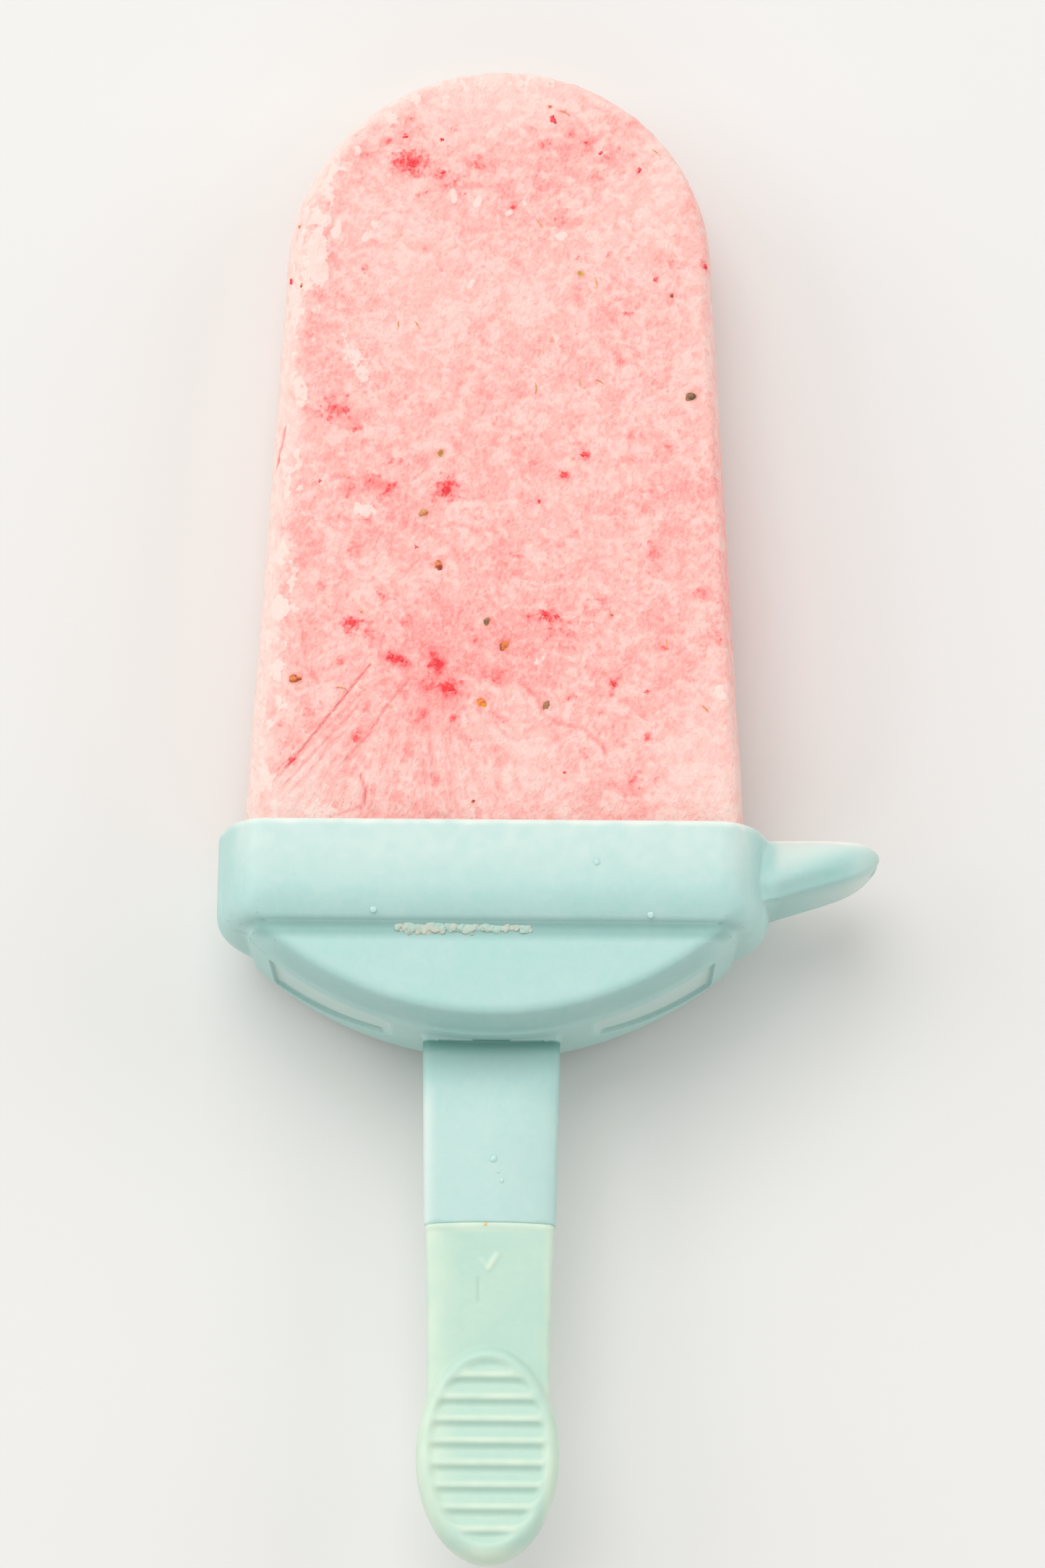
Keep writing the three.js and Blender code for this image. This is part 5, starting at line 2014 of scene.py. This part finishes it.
@dataclass
class Condensation:
    """Drops of water, frozen cream and flecks of fruit that sit on the holder."""

    guard: DripGuard
    drops: tuple = (
        (0.46, -41.58, 0.42), (1.49, -44.33, 0.3), (1.0, -43.2, 0.2), (13.1, -5.66, 0.4),
        (-14.9, -11.84, 0.4), (19.9, -12.22, 0.42),
    )
    drop_height: float = 0.9
    crumb_start: Place = (-11.6, -13.35)
    crumb_end: Place = (4.6, -13.75)
    crumb_count: int = 34
    crumb_size: tuple = ((1.2, 2.8), (1.5, 2.4), (0.35, 0.65))
    flecks: tuple = ((-0.46, -49.95, 2.4, 0.55), (47.85, -4.4, 0.9, 0.5), (7.6, -50.2, 1.9, 0.45))

    def surface(self, x: float, y: float) -> float:
        """Height of the holder's front at a place on the tray, the web or the stick.

        Args:
            x: place across; not used.
            y: place along.

        Returns:
            The height.
        """
        guard = self.guard
        if y > -guard.height:
            rolled = max(0.0, (guard.face_roll - guard.height - y) / guard.face_roll)
            return guard.half_depth - guard.face_corner * (1 - math.sqrt(1 - rolled**2))
        return guard.web_half_depth if y > guard.web_bottom else guard.stick_half_depth

    def lump(self, bm: bmesh.types.BMesh, place: tuple, size: tuple, unevenness: float,
             number: int) -> None:
        """Adds the numbered uneven ball at a place."""
        made = uneven_ball(bm, size, unevenness, waves=2.6, start=2.9 * number)
        bmesh.ops.translate(bm, verts=made, vec=place)

    def water(self, patterns: Patterns) -> bpy.types.Object:
        """Makes the drops as one piece; they take the plastic's own pale colour.

        Args:
            patterns: the shared node groups.

        Returns:
            The finished piece.
        """
        bm = bmesh.new()
        for number, (x, y, radius) in enumerate(self.drops):
            size = (2 * radius, 2.3 * radius, self.drop_height * radius)
            self.lump(bm, (x, y, self.surface(x, y)), size, 0.25, number)
        coat = SpeckledCoat("water drops", rgb(190, 224, 217), rgb(182, 218, 211), size=1.0,
                            roughness=0.4, relief=0.0)
        return lay_down(solid_object("water_drops", bm), coat.material(patterns))

    def crumbs(self, patterns: Patterns) -> bpy.types.Object:
        """Makes the frozen cream that is left in the crease between tray and web; its tones are darker than
        the cream itself, partly painted shade of the crease.

        Args:
            patterns: the shared node groups.

        Returns:
            The finished piece.
        """
        draw = random.Random(RANDOM_SEED)
        bm = bmesh.new()
        (x0, y0), (x1, y1) = self.crumb_start, self.crumb_end
        for number in range(self.crumb_count):
            share = (number + draw.random()) / self.crumb_count
            broad = 1 - 0.4 * share
            size = tuple(broad * draw.uniform(*bounds) for bounds in self.crumb_size)
            x = x0 + share * (x1 - x0)
            y = y0 + share * (y1 - y0) + draw.uniform(-0.4, 0.4) * broad
            self.lump(bm, (x, y, self.guard.web_half_depth), size, 0.7, number)
        # Tones darkened to the crease's shade: partly painted shade.
        coat = SpeckledCoat("frozen cream", rgb(196, 200, 184), rgb(176, 204, 192), size=1.6, roughness=0.6)
        return lay_down(solid_object("cream_crumbs", bm), coat.material(patterns))

    def fruit(self, patterns: Patterns) -> bpy.types.Object:
        """Makes the few flecks of fruit as one piece.

        Args:
            patterns: the shared node groups.

        Returns:
            The finished piece.
        """
        bm = bmesh.new()
        for number, (x, y, z, width) in enumerate(self.flecks):
            self.lump(bm, (x, y, z), (width, 0.8 * width, 0.5 * width), 0.8, number)
        coat = SpeckledCoat("dried fruit", rgb(240, 204, 136), rgb(236, 176, 128), size=0.5)
        return lay_down(solid_object("fruit_flecks", bm), coat.material(patterns))


# ---- the studio ------------------------------------------------------------------------


@dataclass(frozen=True)
class Lamp:
    """A square soft light that points at the pop."""

    name: str
    place: tuple
    size: float
    power: float


@dataclass
class Studio:
    """Plain pale floor, soft light from above the tip, and the camera."""

    aim: tuple = (3.70, 4.36, 13.5)
    distance: float = 547.75
    elevation: float = math.radians(75.5)
    turn: float = math.radians(0.45)
    lens: float = 99.63
    floor_half_width: float = 1.5
    floor_color: tuple = (0.8, 0.79, 0.77, 1)
    glow_color: tuple = (1.0, 0.995, 0.985, 1)
    glow: float = 0.46
    lamps: tuple = (
        Lamp("window", (-0.6, 1.85, 2.9), 2.6, 60.0),
        Lamp("right fill", (1.35, 0.5, 0.75), 1.1, 6.5),
        Lamp("left fill", (-1.35, 0.45, 0.8), 1.1, 8.5),
        Lamp("front fill", (0.0, -1.5, 1.0), 1.4, 5.0),
    )

    def camera(self) -> None:
        """Looks down on the pop from the side of its handle."""
        data = bpy.data.cameras.new("camera")
        data.lens = self.lens
        data.sensor_width = 36
        data.clip_start, data.clip_end = 0.01, 20
        eye = bpy.data.objects.new("camera", data)
        bpy.context.scene.collection.objects.link(eye)
        turned = Matrix.Rotation(self.turn, 4, "Z") @ Matrix.Rotation(math.pi / 2 - self.elevation, 4, "X")
        local = Matrix.Translation(self.aim) @ turned @ Matrix.Translation((0, 0, self.distance))
        world = POSE.matrix() @ local
        eye.matrix_world = Matrix.LocRotScale(world.translation, world.to_quaternion(), None)
        bpy.context.scene.camera = eye

    def floor(self) -> None:
        """The pale surface that the pop lies on."""
        bm = bmesh.new()
        bmesh.ops.create_grid(bm, x_segments=1, y_segments=1, size=self.floor_half_width)
        piece = solid_object("floor", bm)
        material = bpy.data.materials.new("floor")
        material.use_nodes = True
        shader = material.node_tree.nodes["Principled BSDF"]
        shader.inputs["Base Color"].default_value = self.floor_color
        shader.inputs["Roughness"].default_value = 0.9
        shader.inputs["Specular IOR Level"].default_value = 0.1
        piece.data.materials.append(material)

    def light(self, lamp: Lamp) -> None:
        """Hangs up one lamp.

        Args:
            lamp: its place, size and strength.
        """
        data = bpy.data.lights.new(lamp.name, "AREA")
        data.shape = "SQUARE"
        data.size = lamp.size
        data.energy = lamp.power
        hung = bpy.data.objects.new(lamp.name, data)
        bpy.context.scene.collection.objects.link(hung)
        hung.location = lamp.place
        hung.rotation_euler = (-Vector(lamp.place)).to_track_quat("-Z", "Y").to_euler()

    def air(self) -> None:
        """An even glow from all round, and plain colours."""
        world = bpy.data.worlds.new("studio")
        world.use_nodes = True
        background = world.node_tree.nodes["Background"]
        background.inputs["Color"].default_value = self.glow_color
        background.inputs["Strength"].default_value = self.glow
        bpy.context.scene.world = world
        bpy.context.scene.view_settings.view_transform = "Standard"

    def build(self) -> None:
        """Sets up the whole studio."""
        self.camera()
        self.floor()
        for lamp in self.lamps:
            self.light(lamp)
        self.air()


def write_sizes() -> None:
    """Updates the view layer, so that every object's place is current."""
    bpy.context.view_layer.update()


def main() -> None:
    """Builds the studio and every piece of the pop."""
    logging.basicConfig(level=logging.INFO, format="%(name)s: %(message)s")
    Studio().build()
    patterns = Patterns()
    ice = FrozenBody()
    ice.build(patterns)
    FruitBits(ice).build(patterns)
    guard = DripGuard()
    guard.build(patterns)
    ThumbGrip(guard).build(patterns)
    damp = Condensation(guard)
    damp.water(patterns)
    damp.crumbs(patterns)
    damp.fruit(patterns)
    write_sizes()


if __name__ == "__main__":
    main()
